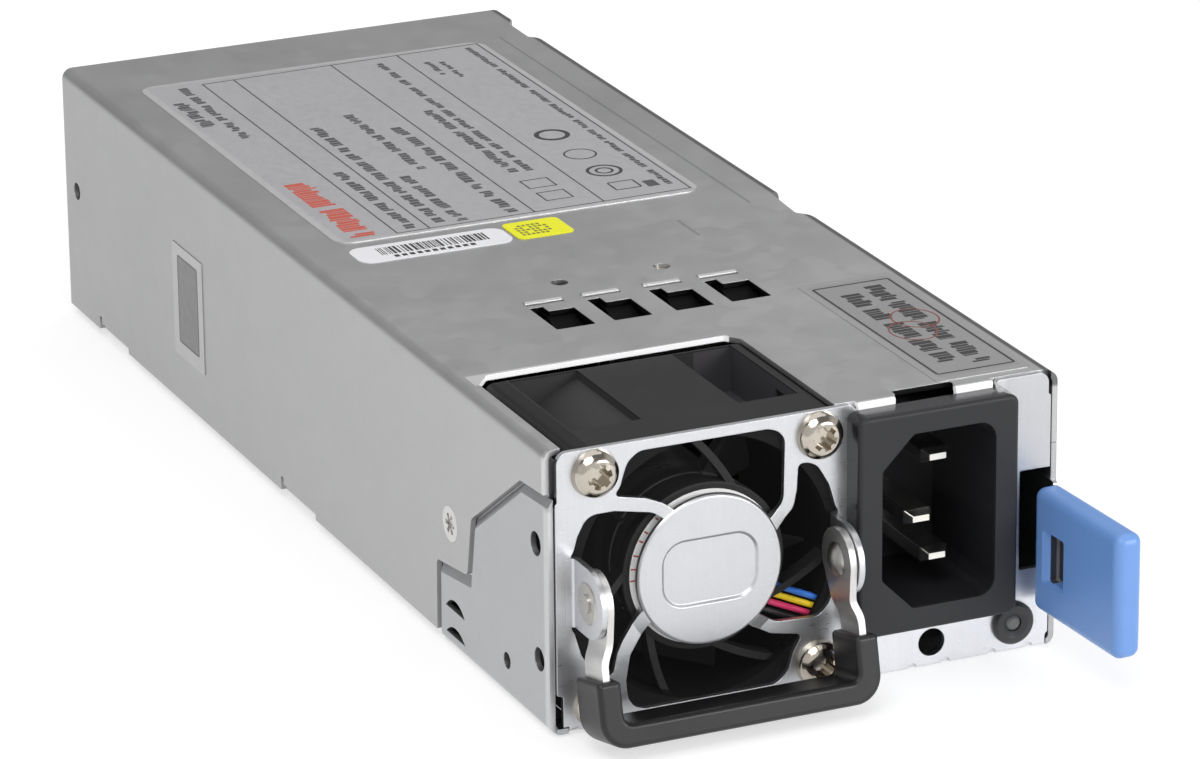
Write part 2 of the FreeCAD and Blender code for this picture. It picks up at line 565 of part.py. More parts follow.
# ================================================================== fan
def fan_point(r, deg):
    a = math.radians(deg)
    return FAN_X + r * math.cos(a), FZ + r * math.sin(a)


fr = prism(rrect(FAN_X - FAN / 2, FAN_X + FAN / 2, FZ - FAN / 2, FZ + FAN / 2, 1.5), "xz", FY0, FY1)
duct = cy(FAN_X, FY0 - 1, FY1 + 1, FZ, 18.7)
pockets = []
for a0, a1 in ((-15.6, -5.7), (8.2, 16.8)):
    for c0, c1 in ((12.5, 19.1), (-19.1, -12.5)):
        pockets.append(box(FAN_X + a0, FAN_X + a1, -84.5, -64.0, FZ + c0, FZ + c1))
fr = cut(fr, [p.cut(duct) for p in pockets])
fr = fr.cut(revolve_y([(0, FY0 - 1), (FAN_BORE + .3, FY0 - 1), (FAN_BORE + .3, FY0 + .2), (FAN_BORE, FY0 + 1.6),
                       (FAN_BORE, FY1 - 1.6), (FAN_BORE + .3, FY1 - .2), (FAN_BORE + .3, FY1 + 1), (0, FY1 + 1)], FAN_X, FZ))
for sx in (-1, 1):
    for sz in (-1, 1):
        fr = fr.cut(cy(FAN_X + sx * FAN_PITCH / 2, FY0 - 1, FY0 + 14, FZ + sz * FAN_PITCH / 2, 1.65))
motor = revolve_y([(0, -91.2), (MOTOR_R, -91.2, .3), (MOTOR_R, -89.2), (3.3, -89.2), (3.3, -70.5), (2.5, -70.5),
                   (2.5, -89.0), (0, -89.0)], FAN_X, FZ)
struts = []
for a0 in (69, 177.5, 227, 279, 330.2):
    x0, z0 = fan_point(MOTOR_R - .6, a0 - 2.5)
    x1, z1 = fan_point(FAN_BORE + .5, a0 + 26.5)
    xm, zm = fan_point(14.3, a0 + 13.8)
    # thin curved strut, 1 wide, 2.4 deep
    # side faces are the arc moved half a width to each side
    nx, nz = -(z1 - z0), (x1 - x0)
    nl = math.hypot(nx, nz) / .5
    nx, nz = nx / nl, nz / nl

    def q(x, z, s):
        return V(x + s * nx, FY0 + .6, z + s * nz)
    wire = Part.Wire([Part.Arc(q(x0, z0, -1), q(xm, zm, -1), q(x1, z1, -1)).toShape(),
                      Part.LineSegment(q(x1, z1, -1), q(x1, z1, 1)).toShape(),
                      Part.Arc(q(x1, z1, 1), q(xm, zm, 1), q(x0, z0, 1)).toShape(),
                      Part.LineSegment(q(x0, z0, 1), q(x0, z0, -1)).toShape()])
    struts.append(Part.Face(wire).extrude(V(0, 2.4, 0)))
fr = fuse([fr, motor] + struts)
# four wires slope out of a notch in the motor base, 1.15 apart, to a slot in
# the frame's right wall
WIRE_DX, WIRE_DZ = .906, -.423
WIRE_C = [(14.1 - .49 * k, -6.5 - 1.045 * k) for k in range(4)]
WIRE_IN = (4.5, 4.6, 5.0, 5.5)
notch = prism([(FAN_X + a, FZ + b) for a, b in ((6.7, -8.6), (9.9, -3.7), (12.6, -4.9), (9.4, -10.6))], "xz", -91.0, -89.1)
fr = cut(fr, [notch, box(FAN_X + 11.0, FAN_X + 19.5, -91.0, -89.3, FZ - 13.9, FZ - 6.9)])
save("fan_frame", fr)

save("fan_sticker", cy(FAN_X, -91.35, -91.2, FZ, 10.65))

stator = cy(FAN_X, -86.0, -74.0, FZ, 8.6).cut(cy(FAN_X, -87, -73, FZ, 3.32))
for k in range(6):
    a = 60 * k
    w = box(FAN_X + 4.6, FAN_X + 7.6, -87, -73, FZ - 1.0, FZ + 1.0)
    w = w.fuse(box(FAN_X + 7.5, FAN_X + 9, -87, -73, FZ - .5, FZ + .5))
    stator = stator.cut(spun(w, V(FAN_X, 0, FZ), V(0, 1, 0), a))
save("fan_stator", stator)
coils = []
for k in range(6):
    w = box(FAN_X + 4.7, FAN_X + 7.5, -87.6, -72.4, FZ - .9, FZ + .9)
    coils.append(spun(w, V(FAN_X, 0, FZ), V(0, 1, 0), 60 * k))
save("fan_windings", Part.makeCompound(coils))
save("fan_bearings", Part.makeCompound([
    cy(FAN_X, -88.6, -86.1, FZ, 2.5).cut(cy(FAN_X, -90, -80, FZ, 1.05)),
    cy(FAN_X, -73.4, -70.9, FZ, 2.5).cut(cy(FAN_X, -75, -70, FZ, 1.05))]))

hub = revolve_y([(0, -66.4, ), (10.4, -66.4, .6), (10.8, -68.0, .3), (10.8, -88.5), (10.0, -88.5), (10.0, -68.2),
                 (2.3, -68.2), (2.3, -70.0), (1.0, -70.0), (1.0, -67.4), (0, -67.4)], FAN_X, FZ)


def blade_section(r, y0, y1, t0, t1, bulge, thick):
    """Crescent in the plane z = r: from (t0, y0) to (t1, y1)."""
    mx, my = (t0 + t1) / 2, (y0 + y1) / 2
    dx, dy = t1 - t0, y1 - y0
    l = math.hypot(dx, dy)
    nx, ny = -dy / l, dx / l
    h = thick / 2

    def p(x, y):
        return V(FAN_X + x, y, FZ + r)
    ex, ey = nx * h * .5, ny * h * .5
    return Part.Wire([
        Part.Arc(p(t0 + ex, y0 + ey), p(mx + nx * (bulge + h), my + ny * (bulge + h)), p(t1 + ex, y1 + ey)).toShape(),
        Part.LineSegment(p(t1 + ex, y1 + ey), p(t1 - ex, y1 - ey)).toShape(),
        Part.Arc(p(t1 - ex, y1 - ey), p(mx + nx * (bulge - h), my + ny * (bulge - h)), p(t0 - ex, y0 - ey)).toShape(),
        Part.LineSegment(p(t0 - ex, y0 - ey), p(t0 + ex, y0 + ey)).toShape()])


blade = Part.makeLoft([blade_section(4.5, -86.5, -68.0, -5.5, 5.5, 1.8, 1.5),
                       blade_section(19.5, -85.0, -69.5, -9.0, 9.0, 2.4, 1.0)], True, True)
ann = cy(FAN_X, -88.4, -66.6, FZ, 17.3).cut(cy(FAN_X, -90, -60, FZ, 10.4))
blade = blade.common(ann)
blade = [s for s in blade.Solids if s.BoundBox.ZMax > FZ + 12][0]
rotor = fuse([hub] + [spun(blade, V(FAN_X, 0, FZ), V(0, 1, 0), 72 * k - 22) for k in range(5)])
save("fan_rotor", rotor)
save("fan_magnet", cy(FAN_X, -87.5, -71.5, FZ, 10.0).cut(cy(FAN_X, -90, -70, FZ, 9.1)))
save("fan_shaft", cy(FAN_X, -88.7, -67.4, FZ, 1.0))

XH = (3.4, 5.3, 7.2, 9.1)
for i, name in enumerate(("blue", "yellow", "red", "black")):
    xc, zc = WIRE_C[i]
    xs, zs = FAN_X + xc - WIRE_DX * WIRE_IN[i], FZ + zc - WIRE_DZ * WIRE_IN[i]
    x2 = 6.0
    z2 = zs + (x2 - xs) * WIRE_DZ / WIRE_DX
    save("fan_wire_" + name, run([(xs, -90.15, zs), (x2, -90.15, z2), (x2, -64.5, z2), (XH[i], -57.5, 8.6),
                                  (XH[i], -52.0, 8.6)], 1.9, .43))
plug = box(2.2, 10.3, -52.0, -45.5, 6.6, 11.0)
plug = cut(plug, [box(x - .5, x + .5, -48.5, -45, 8.1, 9.1) for x in XH])
head = box(1.4, 11.1, -48.4, -42.6, PCB_Z1, 12.0).cut(box(2.15, 10.35, -49, -44.0, 6.5, 11.1))
pins = [box(x - .3, x + .3, -46.5, -43.9, 8.3, 8.9) for x in XH]
save("fan_connector", Part.makeCompound([plug, fuse([head] + pins)]))

fan_screws = []
for sx in (-1, 1):
    for sz in (-1, 1):
        x, z = FAN_X + sx * FAN_PITCH / 2, FZ + sz * FAN_PITCH / 2
        hd = revolve_y([(0, YF - 2.05), (1.0, YF - 2.05), (2.3, YF - 1.75, 1.0), (3.1, YF - .95, .8), (3.3, YF), (1.6, YF),
                        (1.6, -82.5), (1.0, -81.0), (0, -81.0)], x, z)
        for k in range(3):
            slot = box(x - 1.7, x + 1.7, YF - 3, YF - .4, z - .45, z + .45)
            hd = hd.cut(spun(slot, V(x, 0, z), V(0, 1, 0), 60 * k + 15 * sx))
        hd = hd.cut(cy(x, YF - 3, YF - .4, z, 1.28))
        fan_screws.append(hd.removeSplitter())
save("fan_screws", Part.makeCompound(fan_screws))

# ================================================================ handle
# Drawn hanging straight down from the pivot, u down and v forward, then tilted.
SX = EAR_OUT - T - .12 - STRAP_T    # strap's inner face from the fan axis, top part
JOG = 1.0
BAR_U0, BAR_U1 = 15.7, 18.9


def strap_profile():
    """U outline in X, Z (pivot at Z = 0)."""
    o = SX + STRAP_T
    zt, z1, z2, zb = EAR_R + .2, -5.3, -7.6, -(BAR_U0 + BAR_U1) / 2 - STRAP_T / 2
    outer = [(o, zt), (o, z1, 4.0), (o + JOG, z2, 4.0), (o + JOG, zb, 2.2),
             (-o - JOG, zb, 2.2), (-o - JOG, z2, 4.0), (-o, z1, 4.0), (-o, zt)]
    i = SX
    inner = [(-i, zt), (-i, z1 - .2, 4.0), (-i - JOG, z2 - .2, 4.0), (-i - JOG, zb + STRAP_T, 1.2),
             (i + JOG, zb + STRAP_T, 1.2), (i + JOG, z2 - .2, 4.0), (i, z1 - .2, 4.0), (i, zt)]
    return outer + inner


prof = [(FX + p[0],) + tuple(p[1:]) for p in strap_profile()]
strap = prism(prof, "xz", -6, 6)
side = fuse([cx(-60, 40, 0, 0, 4.25),
             prism([(-4.1, -1.1), (-STRAP_W / 2, -5.4, 2.0), (-STRAP_W / 2, -30), (STRAP_W / 2, -30),
                    (STRAP_W / 2, -5.4, 2.0), (4.1, -1.1)], "yz", -60, 40)])
strap = strap.common(side)
strap = strap.cut(cx(-60, 40, 0, 0, 1.35))
strap = strap.removeSplitter()

GX = 20.0                     # grip's outer half width from the fan axis
GW = 3.3
grip = prism([(FX - GX, -9.9, .6), (FX - GX, -BAR_U1, 3.8), (FX + GX, -BAR_U1, 3.8), (FX + GX, -9.9, .6),
              (FX + GX - GW, -9.9, .6), (FX + GX - GW, -BAR_U0, 1.2), (FX - GX + GW, -BAR_U0, 1.2),
              (FX - GX + GW, -9.9, .6)], "xz", -3.9, 3.9)
grip = round_edges(grip, .7, lambda e: abs(abs(e.BoundBox.YMin) - 3.9) < .01 and abs(e.BoundBox.YMin - e.BoundBox.YMax) < .01)
grip = grip.cut(strap)
for part in (strap, grip):
    part.rotate(V(0, 0, 0), V(1, 0, 0), -TILT)
    part.translate(V(0, PIV_Y, PIV_Z))
save("handle_strap", strap)
save("handle_grip", grip)

rivets = []
for s in (-1, 1):
    xin = FX + s * SX
    prof = [(0, 0), (1.25, 0), (1.25, .3), (3.0, .3, .1), (3.0, .05)]
    # shank through strap and ear, low outer head, domed inner head
    shank = Part.makeCylinder(1.27, STRAP_T + .3 + T + .5, V(xin - s * .25, PIV_Y, PIV_Z), V(s, 0, 0))
    if s < 0:
        outer = Part.makeCone(2.85, 2.7, .16, V(FX + s * EAR_OUT, PIV_Y, PIV_Z), V(s, 0, 0))
    else:
        outer = Part.makeCone(2.4, 2.0, .6, V(FX + s * EAR_OUT, PIV_Y, PIV_Z), V(s, 0, 0))
    ball = Part.makeSphere(3.55, V(xin + s * 2.6, PIV_Y, PIV_Z))
    dome = ball.common(Part.makeCylinder(2.4, 3, V(xin - s * .06, PIV_Y, PIV_Z), V(-s, 0, 0)))
    rivets.append(shank.fuse(outer).fuse(dome).removeSplitter())
save("handle_rivets", Part.makeCompound(rivets))

# ================================================================= latch
leaf = prism(rrect(-109.0, LEAF_Y, LEAF_Z0, LEAF_Z1, 1.2), "yz", LEAF_X0, LEAF_X1)
leaf = leaf.cut(box(LEAF_X0 - 1, LEAF_X1 + 1, -78.6, -67.4, 14.6, 20.4))
hook = prism([(LEAF_X0, -66.6), (LEAF_X1, -66.6), (LEAF_X1 + .1, -68.0), (39.2, -75.6, .6), (39.0, -77.4, .5),
              (LEAF_X1, -78.3), (LEAF_X1, -79.2), (LEAF_X0, -79.2), (LEAF_X0, -77.8, .3), (38.35, -76.9, .3),
              (38.5, -75.9, .3), (LEAF_X0 + .05, -67.9)], "xy", 14.8, 20.2)
# the leaf is taller where it shows in the front panel's window
crest = prism([(-94.6, 20), (-94.6, 24.1, .6), (-85.4, 24.1, .8), (-83.8, 20)], "yz", LEAF_X0, LEAF_X1)
leaf = fuse([leaf, hook, crest])
leaf = cut(leaf, [cx(LEAF_X0 - 1, LEAF_X1 + 1, -44, z, 1.4) for z in (14.8, 19.8)])
save("latch_spring", leaf)
tab = box(32.95, 36.95, -115.6, -94.0, 6.4, 23.8)
tab = round_edges(tab, 1.4)
pocket = prism(rrect(-101.9, -97.7, 11.4, 18.2, .3), "yz", 32.0, LEAF_X0)
bevel = Part.makeLoft([outline(rrect(-102.1, -96.5, 10.9, 18.6, .5), lambda a, b: V(32.9, a, b)),
                       outline(rrect(-101.9, -97.7, 11.4, 18.2, .3), lambda a, b: V(33.6, a, b))], True, True)
tab = cut(tab, [pocket, bevel])
tab.rotate(V(34.95, -105.5, 0), V(0, 0, 1), 2.6)
tab = tab.cut(leaf)
save("latch_tab", tab)
lr = []
for z in (14.8, 19.8):
    lr.append(cx(33.9, XR, -44, z, .98).fuse(cx(33.9, 34.75, -44, z, 1.9)).removeSplitter())
save("latch_rivets", Part.makeCompound(lr))

# =================================================================== LED
bez = revolve_y([(1.15, -93.0), (1.9, -93.45, .2), (2.65, -93.45, .3), (3.0, -93.0, .2), (3.0, YF), (2.4, YF),
                 (2.4, -87.5), (1.15, -87.5)], LED_X, LED_Z)
save("led_bezel", bez)
lens = revolve_y([(0, -93.15), (.7, -93.1, .3), (1.1, -92.8, .2), (1.1, -84.2), (0, -84.2)], LED_X, LED_Z)
save("led_light_pipe", lens)
save("led_board", fuse([box(26.5, 33.5, -83.4, -82.2, 2.0, 8.4), box(29.2, 31.0, -84.15, -83.39, 3.5, 5.1)]))

# ================================================================ labels
save("rating_label", prism(rrect(-29.9, 26.5, -4.0, 77.5, 2.6), "xy", ZT, ZT + .12))
save("barcode_label", prism(rrect(-29.9, -6.6, -13.3, -6.6, 2.0), "xy", ZT, ZT + .12))
save("inspection_sticker", prism(rrect(-6.0, 2.6, -13.0, -5.8, 1.0), "xy", ZT, ZT + .1))
save("seal_sticker", prism(rrect(20.1, 34.2, -90.0, -47.8, .8), "xy", ZT, ZT + .08))
save("side_sticker", prism(rrect(33.0, 45.4, 8.4, 25.8, .5), "yz", XL - .12, XL))

# ====================================================== power electronics
Z0 = PCB_Z1


def toroid(x, y, r, h, hole, upright=True):
    # wound ring core lying flat (axis up) or standing (axis along Y)
    if upright:
        c = cy(x, y - h / 2, y + h / 2, Z0 + r, r).cut(cy(x, y - h, y + h, Z0 + r, hole))
    else:
        c = cz(x, y, Z0 + .5, Z0 + .5 + h, r).cut(cz(x, y, Z0 - 1, Z0 + h + 2, hole))
    return round_edges(c, min(1.6, h / 5))


def winding(x, y, r, h, hole, turns, wire, a0, a1, upright=True):
    """Rectangular turns of wire hugging a ring core."""
    out = []
    for k in range(turns):
        a = a0 + (a1 - a0) * k / max(1, turns - 1)
        g = .04
        ro, ri = r + g, hole - g
        w = wire
        if upright:
            o = box(ri - w, ro + w, -h / 2 - g - w, h / 2 + g + w, -w / 2, w / 2).cut(
                box(ri, ro, -h / 2 - g, h / 2 + g, -w, w))
            o.rotate(V(0, 0, 0), V(0, 1, 0), a)
            o.translate(V(x, y, Z0 + r))
        else:
            o = box(ri - w, ro + w, -w / 2, w / 2, -h / 2 - g - w, h / 2 + g + w).cut(
                box(ri, ro, -w, w, -h / 2 - g, h / 2 + g))
            o.rotate(V(0, 0, 0), V(0, 0, 1), a)
            o.translate(V(x, y, Z0 + .5 + h / 2))
        out.append(o)
    return out


# line filter: common mode choke, film capacitors, disc capacitors, fuse, relay
cm = toroid(19.8, -46.0, 7.8, 8.0, 4.3)
cm.translate(V(0, 0, 1.6))
cw = winding(19.8, -46.0, 7.8, 8.0, 4.3, 8, .8, -55, 55) + winding(19.8, -46.0, 7.8, 8.0, 4.3, 8, .8, 125, 235)
for w in cw:
    w.translate(V(0, 0, 1.6))
save("filter_choke_core", cm)
save("filter_choke_winding", Part.makeCompound(cw))
fc = caps + [round_edges(box(-24.0, -8.0, -56.5, -49.5, Z0, Z0 + 13), .5),
             round_edges(box(-24.0, -8.0, -47.5, -41.6, Z0, Z0 + 12), .5)]
for i in range(3):
    fc.append(round_edges(cy(-4.0, -56 + i * 4.6, -53.6 + i * 4.6, Z0 + 4.6, 3.4), .8))
save("filter_capacitors", Part.makeCompound(fc))
save("relay", round_edges(box(-2.4, 10.6, -40.5, -31.0, Z0, Z0 + 15), .4))
fuse_parts = [cy(31.4, -56.0, -38.5, Z0 + 2.9, 1.8), cy(31.4, -57.2, -52.0, Z0 + 2.9, 2.05), cy(31.4, -42.5, -37.3, Z0 + 2.9, 2.05),
              box(30.8, 32.0, -56.6, -54.6, Z0, Z0 + 2), box(30.8, 32.0, -40.0, -38.0, Z0, Z0 + 2)]
save("line_fuse", fuse(fuse_parts))

# power factor choke, rectifier and switches on the left heat sink
pc = toroid(-17.5, -27.4, 12.4, 11.0, 6.5, False)
pw = winding(-17.5, -27.4, 12.4, 11.0, 6.5, 22, 1.1, 20, 340, False)
for w in [pc] + pw:
    w.translate(V(0, 0, .8))
save("pfc_choke_core", pc)
save("pfc_choke_winding", Part.makeCompound(pw))
sink = [box(-33.0, -30.5, -6.0, 62.0, Z0 + .5, Z0 + 28)]
for k in range(9):
    sink.append(box(-34.6, -32.9, -5.5 + k * 8.1, -3.9 + k * 8.1, Z0 + 4, Z0 + 26))
psink = fuse(sink).cut(cz(-29.5, 12.0, 0, 9.5, 3.2))
save("primary_heat_sink", psink)
tr = []
for k in range(5):
    y = -2.0 + k * 12.2
    body = fuse([box(-30.5, -26.0, y, y + 10.2, Z0 + 8.5, Z0 + 24), box(-30.5, -29.2, y, y + 10.2, Z0 + 23, Z0 + 27)])
    legs = [box(-28.6, -27.9, y + 1.4 + j * 3.3, y + 2.2 + j * 3.3, Z0, Z0 + 8.6) for j in range(3)]
    if k == 1:
        # two-legged rectifier beside the board screw
        legs = legs[:0]
    tr.append(fuse([body] + legs))
save("power_transistors", Part.makeCompound(tr))

cap = revolve_y([(0, -24.0), (14.0, -24.0, 1.2), (14.4, -22.0, .6), (13.7, -20.8, .4), (14.4, -19.6, .6), (14.4, 22.0, 1.4), (0, 22.0)],
                15.5, Z0 + .3 + 14.4)
save("bulk_capacitor", cap)

# main transformer and standby transformer
def ecore(x0, x1, y0, y1, z0, z1, leg):
    c = box(x0, x1, y0, y1, z0, z1)
    w = (x1 - x0)
    win = (w - 2 * leg * .6 - leg * 1.4) / 2
    c = c.cut(box(x0 + leg * .6, x0 + leg * .6 + win, y0 - 1, y1 + 1, z0 + leg * .7, z1 - leg * .7))
    return c.cut(box(x1 - leg * .6 - win, x1 - leg * .6, y0 - 1, y1 + 1, z0 + leg * .7, z1 - leg * .7))


def coil(x0, x1, y0, y1, z0, z1, leg, grow):
    w = (x1 - x0)
    win = (w - 2 * leg * .6 - leg * 1.4) / 2
    a0, a1 = x0 + leg * .6 + .15, x1 - leg * .6 - .15
    c = prism(rrect(a0, a1, y0 - grow, y1 + grow, 2.0), "xy", z0 + leg * .7 + .1, z1 - leg * .7 - .1)
    return c.cut(box(x0 + leg * .6 + win - .02, x1 - leg * .6 - win + .02, y0 - .02, y1 + .02, z0, z1))


M1 = (-23.5, 10.5, 28.0, 46.0, Z0 + 1.2, Z0 + 29.2, 10.0)
save("main_transformer_core", ecore(*M1))
save("main_transformer_coil", coil(*(M1 + (4.2,))))
S1 = (14.0, 30.0, 38.0, 48.0, Z0 + 1.0, Z0 + 16.0, 5.4)
save("standby_transformer", fuse([ecore(*S1), coil(*(S1 + (1.9,)))]))

# output stage
osink = [box(-24, 12, 57.5, 59.5, Z0 + 3.0, Z0 + 27)]
for k in range(8):
    osink.append(box(-23 + k * 4.8, -21.6 + k * 4.8, 54.0, 57.6, Z0 + 6, Z0 + 27))
save("output_heat_sink", fuse(osink))
save("bus_bars", fuse([box(-24, 12, 60.6, 62.2, Z0, Z0 + 9), box(-24, -20.5, 60.6, 88, Z0, Z0 + 2.0),
                       box(8.5, 12, 60.6, 88, Z0, Z0 + 2.0)]))
oc = []
for i in range(5):
    for j in range(2):
        oc.append(round_edges(cz(-17.0 + i * 5.4, 69.0 + j * 8.2, Z0, Z0 + 13.5, 2.55), .5))
save("output_capacitors", Part.makeCompound(oc))
cb = [box(24.0, 25.4, 52.0, 86.0, Z0, Z0 + 25)]
ch = [box(22.8, 24.0, 58, 66, Z0 + 10, Z0 + 18), box(22.9, 24.0, 70, 75, Z0 + 5, Z0 + 10), box(22.9, 24.0, 70, 76, Z0 + 14, Z0 + 19),
      box(25.4, 26.5, 56, 61, Z0 + 6, Z0 + 12), box(25.4, 26.6, 66, 74, Z0 + 12, Z0 + 19), box(25.4, 26.4, 78, 82, Z0 + 5, Z0 + 9)]
save("control_board", Part.makeCompound(cb + ch))

print("nodes:", len(NODES))
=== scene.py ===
import math
import random

import bpy
import bmesh
from mathutils import Matrix, Vector


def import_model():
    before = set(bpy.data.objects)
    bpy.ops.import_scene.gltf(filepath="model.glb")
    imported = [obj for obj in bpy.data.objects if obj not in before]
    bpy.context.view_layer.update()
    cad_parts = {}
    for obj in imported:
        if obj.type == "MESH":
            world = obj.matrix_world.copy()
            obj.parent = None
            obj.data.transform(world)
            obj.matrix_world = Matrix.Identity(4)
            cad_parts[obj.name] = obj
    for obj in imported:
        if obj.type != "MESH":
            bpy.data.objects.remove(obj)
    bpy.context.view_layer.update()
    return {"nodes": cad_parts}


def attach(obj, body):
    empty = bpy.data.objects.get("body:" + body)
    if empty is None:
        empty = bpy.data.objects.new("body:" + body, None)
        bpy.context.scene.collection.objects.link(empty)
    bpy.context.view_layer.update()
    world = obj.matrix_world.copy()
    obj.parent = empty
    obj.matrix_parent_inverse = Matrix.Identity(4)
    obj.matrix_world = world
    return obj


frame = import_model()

NODES = frame["nodes"]
MM = 0.001
scene = bpy.context.scene
scene.view_settings.view_transform = "Standard"
scene.view_settings.look = "None"


# ------------------------------------------------------------------ camera
def camera():
    az, el, roll = math.radians(-24.02), math.radians(20.08), math.radians(-0.58)
    back = Vector((math.sin(az) * math.cos(el), -math.cos(az) * math.cos(el), math.sin(el)))
    fwd = -back
    right = fwd.cross(Vector((0, 0, 1))).normalized()
    up = right.cross(fwd)
    r = right * math.cos(roll) + up * math.sin(roll)
    u = up * math.cos(roll) - right * math.sin(roll)
    data = bpy.data.cameras.new("camera")
    data.sensor_width = 36.0
    data.lens = 36.0 * 6088.95 / 1200.0
    data.clip_start, data.clip_end = 0.05, 20.0
    cam = bpy.data.objects.new("camera", data)
    scene.collection.objects.link(cam)
    m = Matrix((r, u, back)).transposed().to_4x4()
    m.translation = Vector((-0.3255, -0.75699, 0.31401))
    cam.matrix_world = m
    scene.camera = cam


camera()


# --------------------------------------------------------------- node helper
class Mat:
    """A node material whose texture space is the object's own space in millimetres."""

    def __init__(self, name):
        self.m = bpy.data.materials.new(name)
        self.m.use_nodes = True
        self.t = self.m.node_tree
        self.t.nodes.clear()
        self.out = self.t.nodes.new("ShaderNodeOutputMaterial")
        self.b = self.t.nodes.new("ShaderNodeBsdfPrincipled")
        self.t.links.new(self.b.outputs[0], self.out.inputs[0])
        tc = self.t.nodes.new("ShaderNodeTexCoord")
        self.co = self.vmath("SCALE", tc.outputs["Object"], None, 1000.0)
        self.bump_in = None

    def link(self, a, b):
        self.t.links.new(a, b)

    def put(self, sock, v):
        if isinstance(v, bpy.types.NodeSocket):
            self.link(v, sock)
        elif v is not None:
            if sock.type == "RGBA" and len(v) == 3:
                v = (*v, 1.0)
            sock.default_value = v

    def vmath(self, op, a, b=None, scale=None):
        n = self.t.nodes.new("ShaderNodeVectorMath")
        n.operation = op
        self.put(n.inputs[0], a)
        if b is not None:
            self.put(n.inputs[1], b)
        if scale is not None:
            n.inputs["Scale"].default_value = scale
        return n.outputs[0]

    def math(self, op, a, b=0.0, c=0.0, clamp=False):
        n = self.t.nodes.new("ShaderNodeMath")
        n.operation = op
        n.use_clamp = clamp
        self.put(n.inputs[0], a)
        self.put(n.inputs[1], b)
        self.put(n.inputs[2], c)
        return n.outputs[0]

    def stretch(self, sx, sy, sz, off=(0, 0, 0)):
        n = self.t.nodes.new("ShaderNodeMapping")
        self.link(self.co, n.inputs["Vector"])
        n.inputs["Scale"].default_value = (sx, sy, sz)
        n.inputs["Location"].default_value = off
        return n.outputs[0]

    def noise(self, scale, detail=2.0, rough=0.5, vec=None, distort=0.0):
        n = self.t.nodes.new("ShaderNodeTexNoise")
        self.link(vec or self.co, n.inputs["Vector"])
        n.inputs["Scale"].default_value = scale
        n.inputs["Detail"].default_value = detail
        n.inputs["Roughness"].default_value = rough
        n.inputs["Distortion"].default_value = distort
        return n.outputs["Fac"]

    def voronoi(self, scale, vec=None, feature="F1", out="Color"):
        n = self.t.nodes.new("ShaderNodeTexVoronoi")
        n.feature = feature
        self.link(vec or self.co, n.inputs["Vector"])
        n.inputs["Scale"].default_value = scale
        return n.outputs[out]

    def wave(self, scale, axis="X", profile="SIN", distort=0.0, vec=None, kind="BANDS"):
        n = self.t.nodes.new("ShaderNodeTexWave")
        n.wave_type = kind
        n.bands_direction = axis
        n.wave_profile = profile
        self.link(vec or self.co, n.inputs["Vector"])
        n.inputs["Scale"].default_value = scale
        n.inputs["Distortion"].default_value = distort
        return n.outputs["Fac"]

    def sep(self, v=None):
        n = self.t.nodes.new("ShaderNodeSeparateXYZ")
        self.put(n.inputs[0], v or self.co)
        return n.outputs

    def grey(self, v):
        n = self.t.nodes.new("ShaderNodeRGBToBW")
        self.link(v, n.inputs[0])
        return n.outputs[0]

    def span(self, v, a, b, lo=0.0, hi=1.0, smooth=False):
        n = self.t.nodes.new("ShaderNodeMapRange")
        n.interpolation_type = "SMOOTHSTEP" if smooth else "LINEAR"
        self.put(n.inputs["Value"], v)
        n.inputs["From Min"].default_value = a
        n.inputs["From Max"].default_value = b
        n.inputs["To Min"].default_value = lo
        n.inputs["To Max"].default_value = hi
        return n.outputs[0]

    def mix(self, f, a, b, kind="MIX"):
        n = self.t.nodes.new("ShaderNodeMix")
        n.data_type = "RGBA"
        n.blend_type = kind
        self.put(n.inputs[0], f)
        self.put(n.inputs[6], a)
        self.put(n.inputs[7], b)
        return n.outputs[2]

    def band(self, v, centre, half, soft=0.05):
        """1 where v is within half of centre."""
        d = self.math("ABSOLUTE", self.math("SUBTRACT", v, centre))
        return self.span(d, half, half + soft, 1.0, 0.0)

    def mul(self, *vs):
        x = vs[0]
        for v in vs[1:]:
            x = self.math("MULTIPLY", x, v)
        return x

    def bump(self, height, dist_mm, strength=1.0):
        n = self.t.nodes.new("ShaderNodeBump")
        n.inputs["Strength"].default_value = strength
        n.inputs["Distance"].default_value = dist_mm * MM
        self.link(height, n.inputs["Height"])
        if self.bump_in is not None:
            self.link(self.bump_in, n.inputs["Normal"])
        self.bump_in = n.outputs[0]

    def bevel(self, radius_mm, samples=4):
        """Round the look of sharp edges, as burnished sheet edges catch the light."""
        n = self.t.nodes.new("ShaderNodeBevel")
        n.samples = samples
        n.inputs["Radius"].default_value = radius_mm * MM
        self.bump_in = n.outputs[0]

    def inside(self, x=None, y=None, z=None, soft=0.04):
        """1 inside a box of object space."""
        s = self.sep()
        out = None
        for sock, r in zip(s[0:3], (x, y, z)):
            if r is None:
                continue
            v = self.mul(self.span(sock, r[0] - soft, r[0] + soft), self.span(sock, r[1] + soft, r[1] - soft))
            out = v if out is None else self.mul(out, v)
        return out

    def done(self, colour=None, rough=None, metal=None, **more):
        self.put(self.b.inputs["Base Color"], colour)
        self.put(self.b.inputs["Roughness"], rough)
        self.put(self.b.inputs["Metallic"], metal)
        for k, v in more.items():
            self.put(self.b.inputs[k.replace("_", " ")], v)
        if self.bump_in is not None:
            self.link(self.bump_in, self.b.inputs["Normal"])
        return self.m


def shade(c, k):
    return tuple(min(1.0, x * k) for x in c[:3])


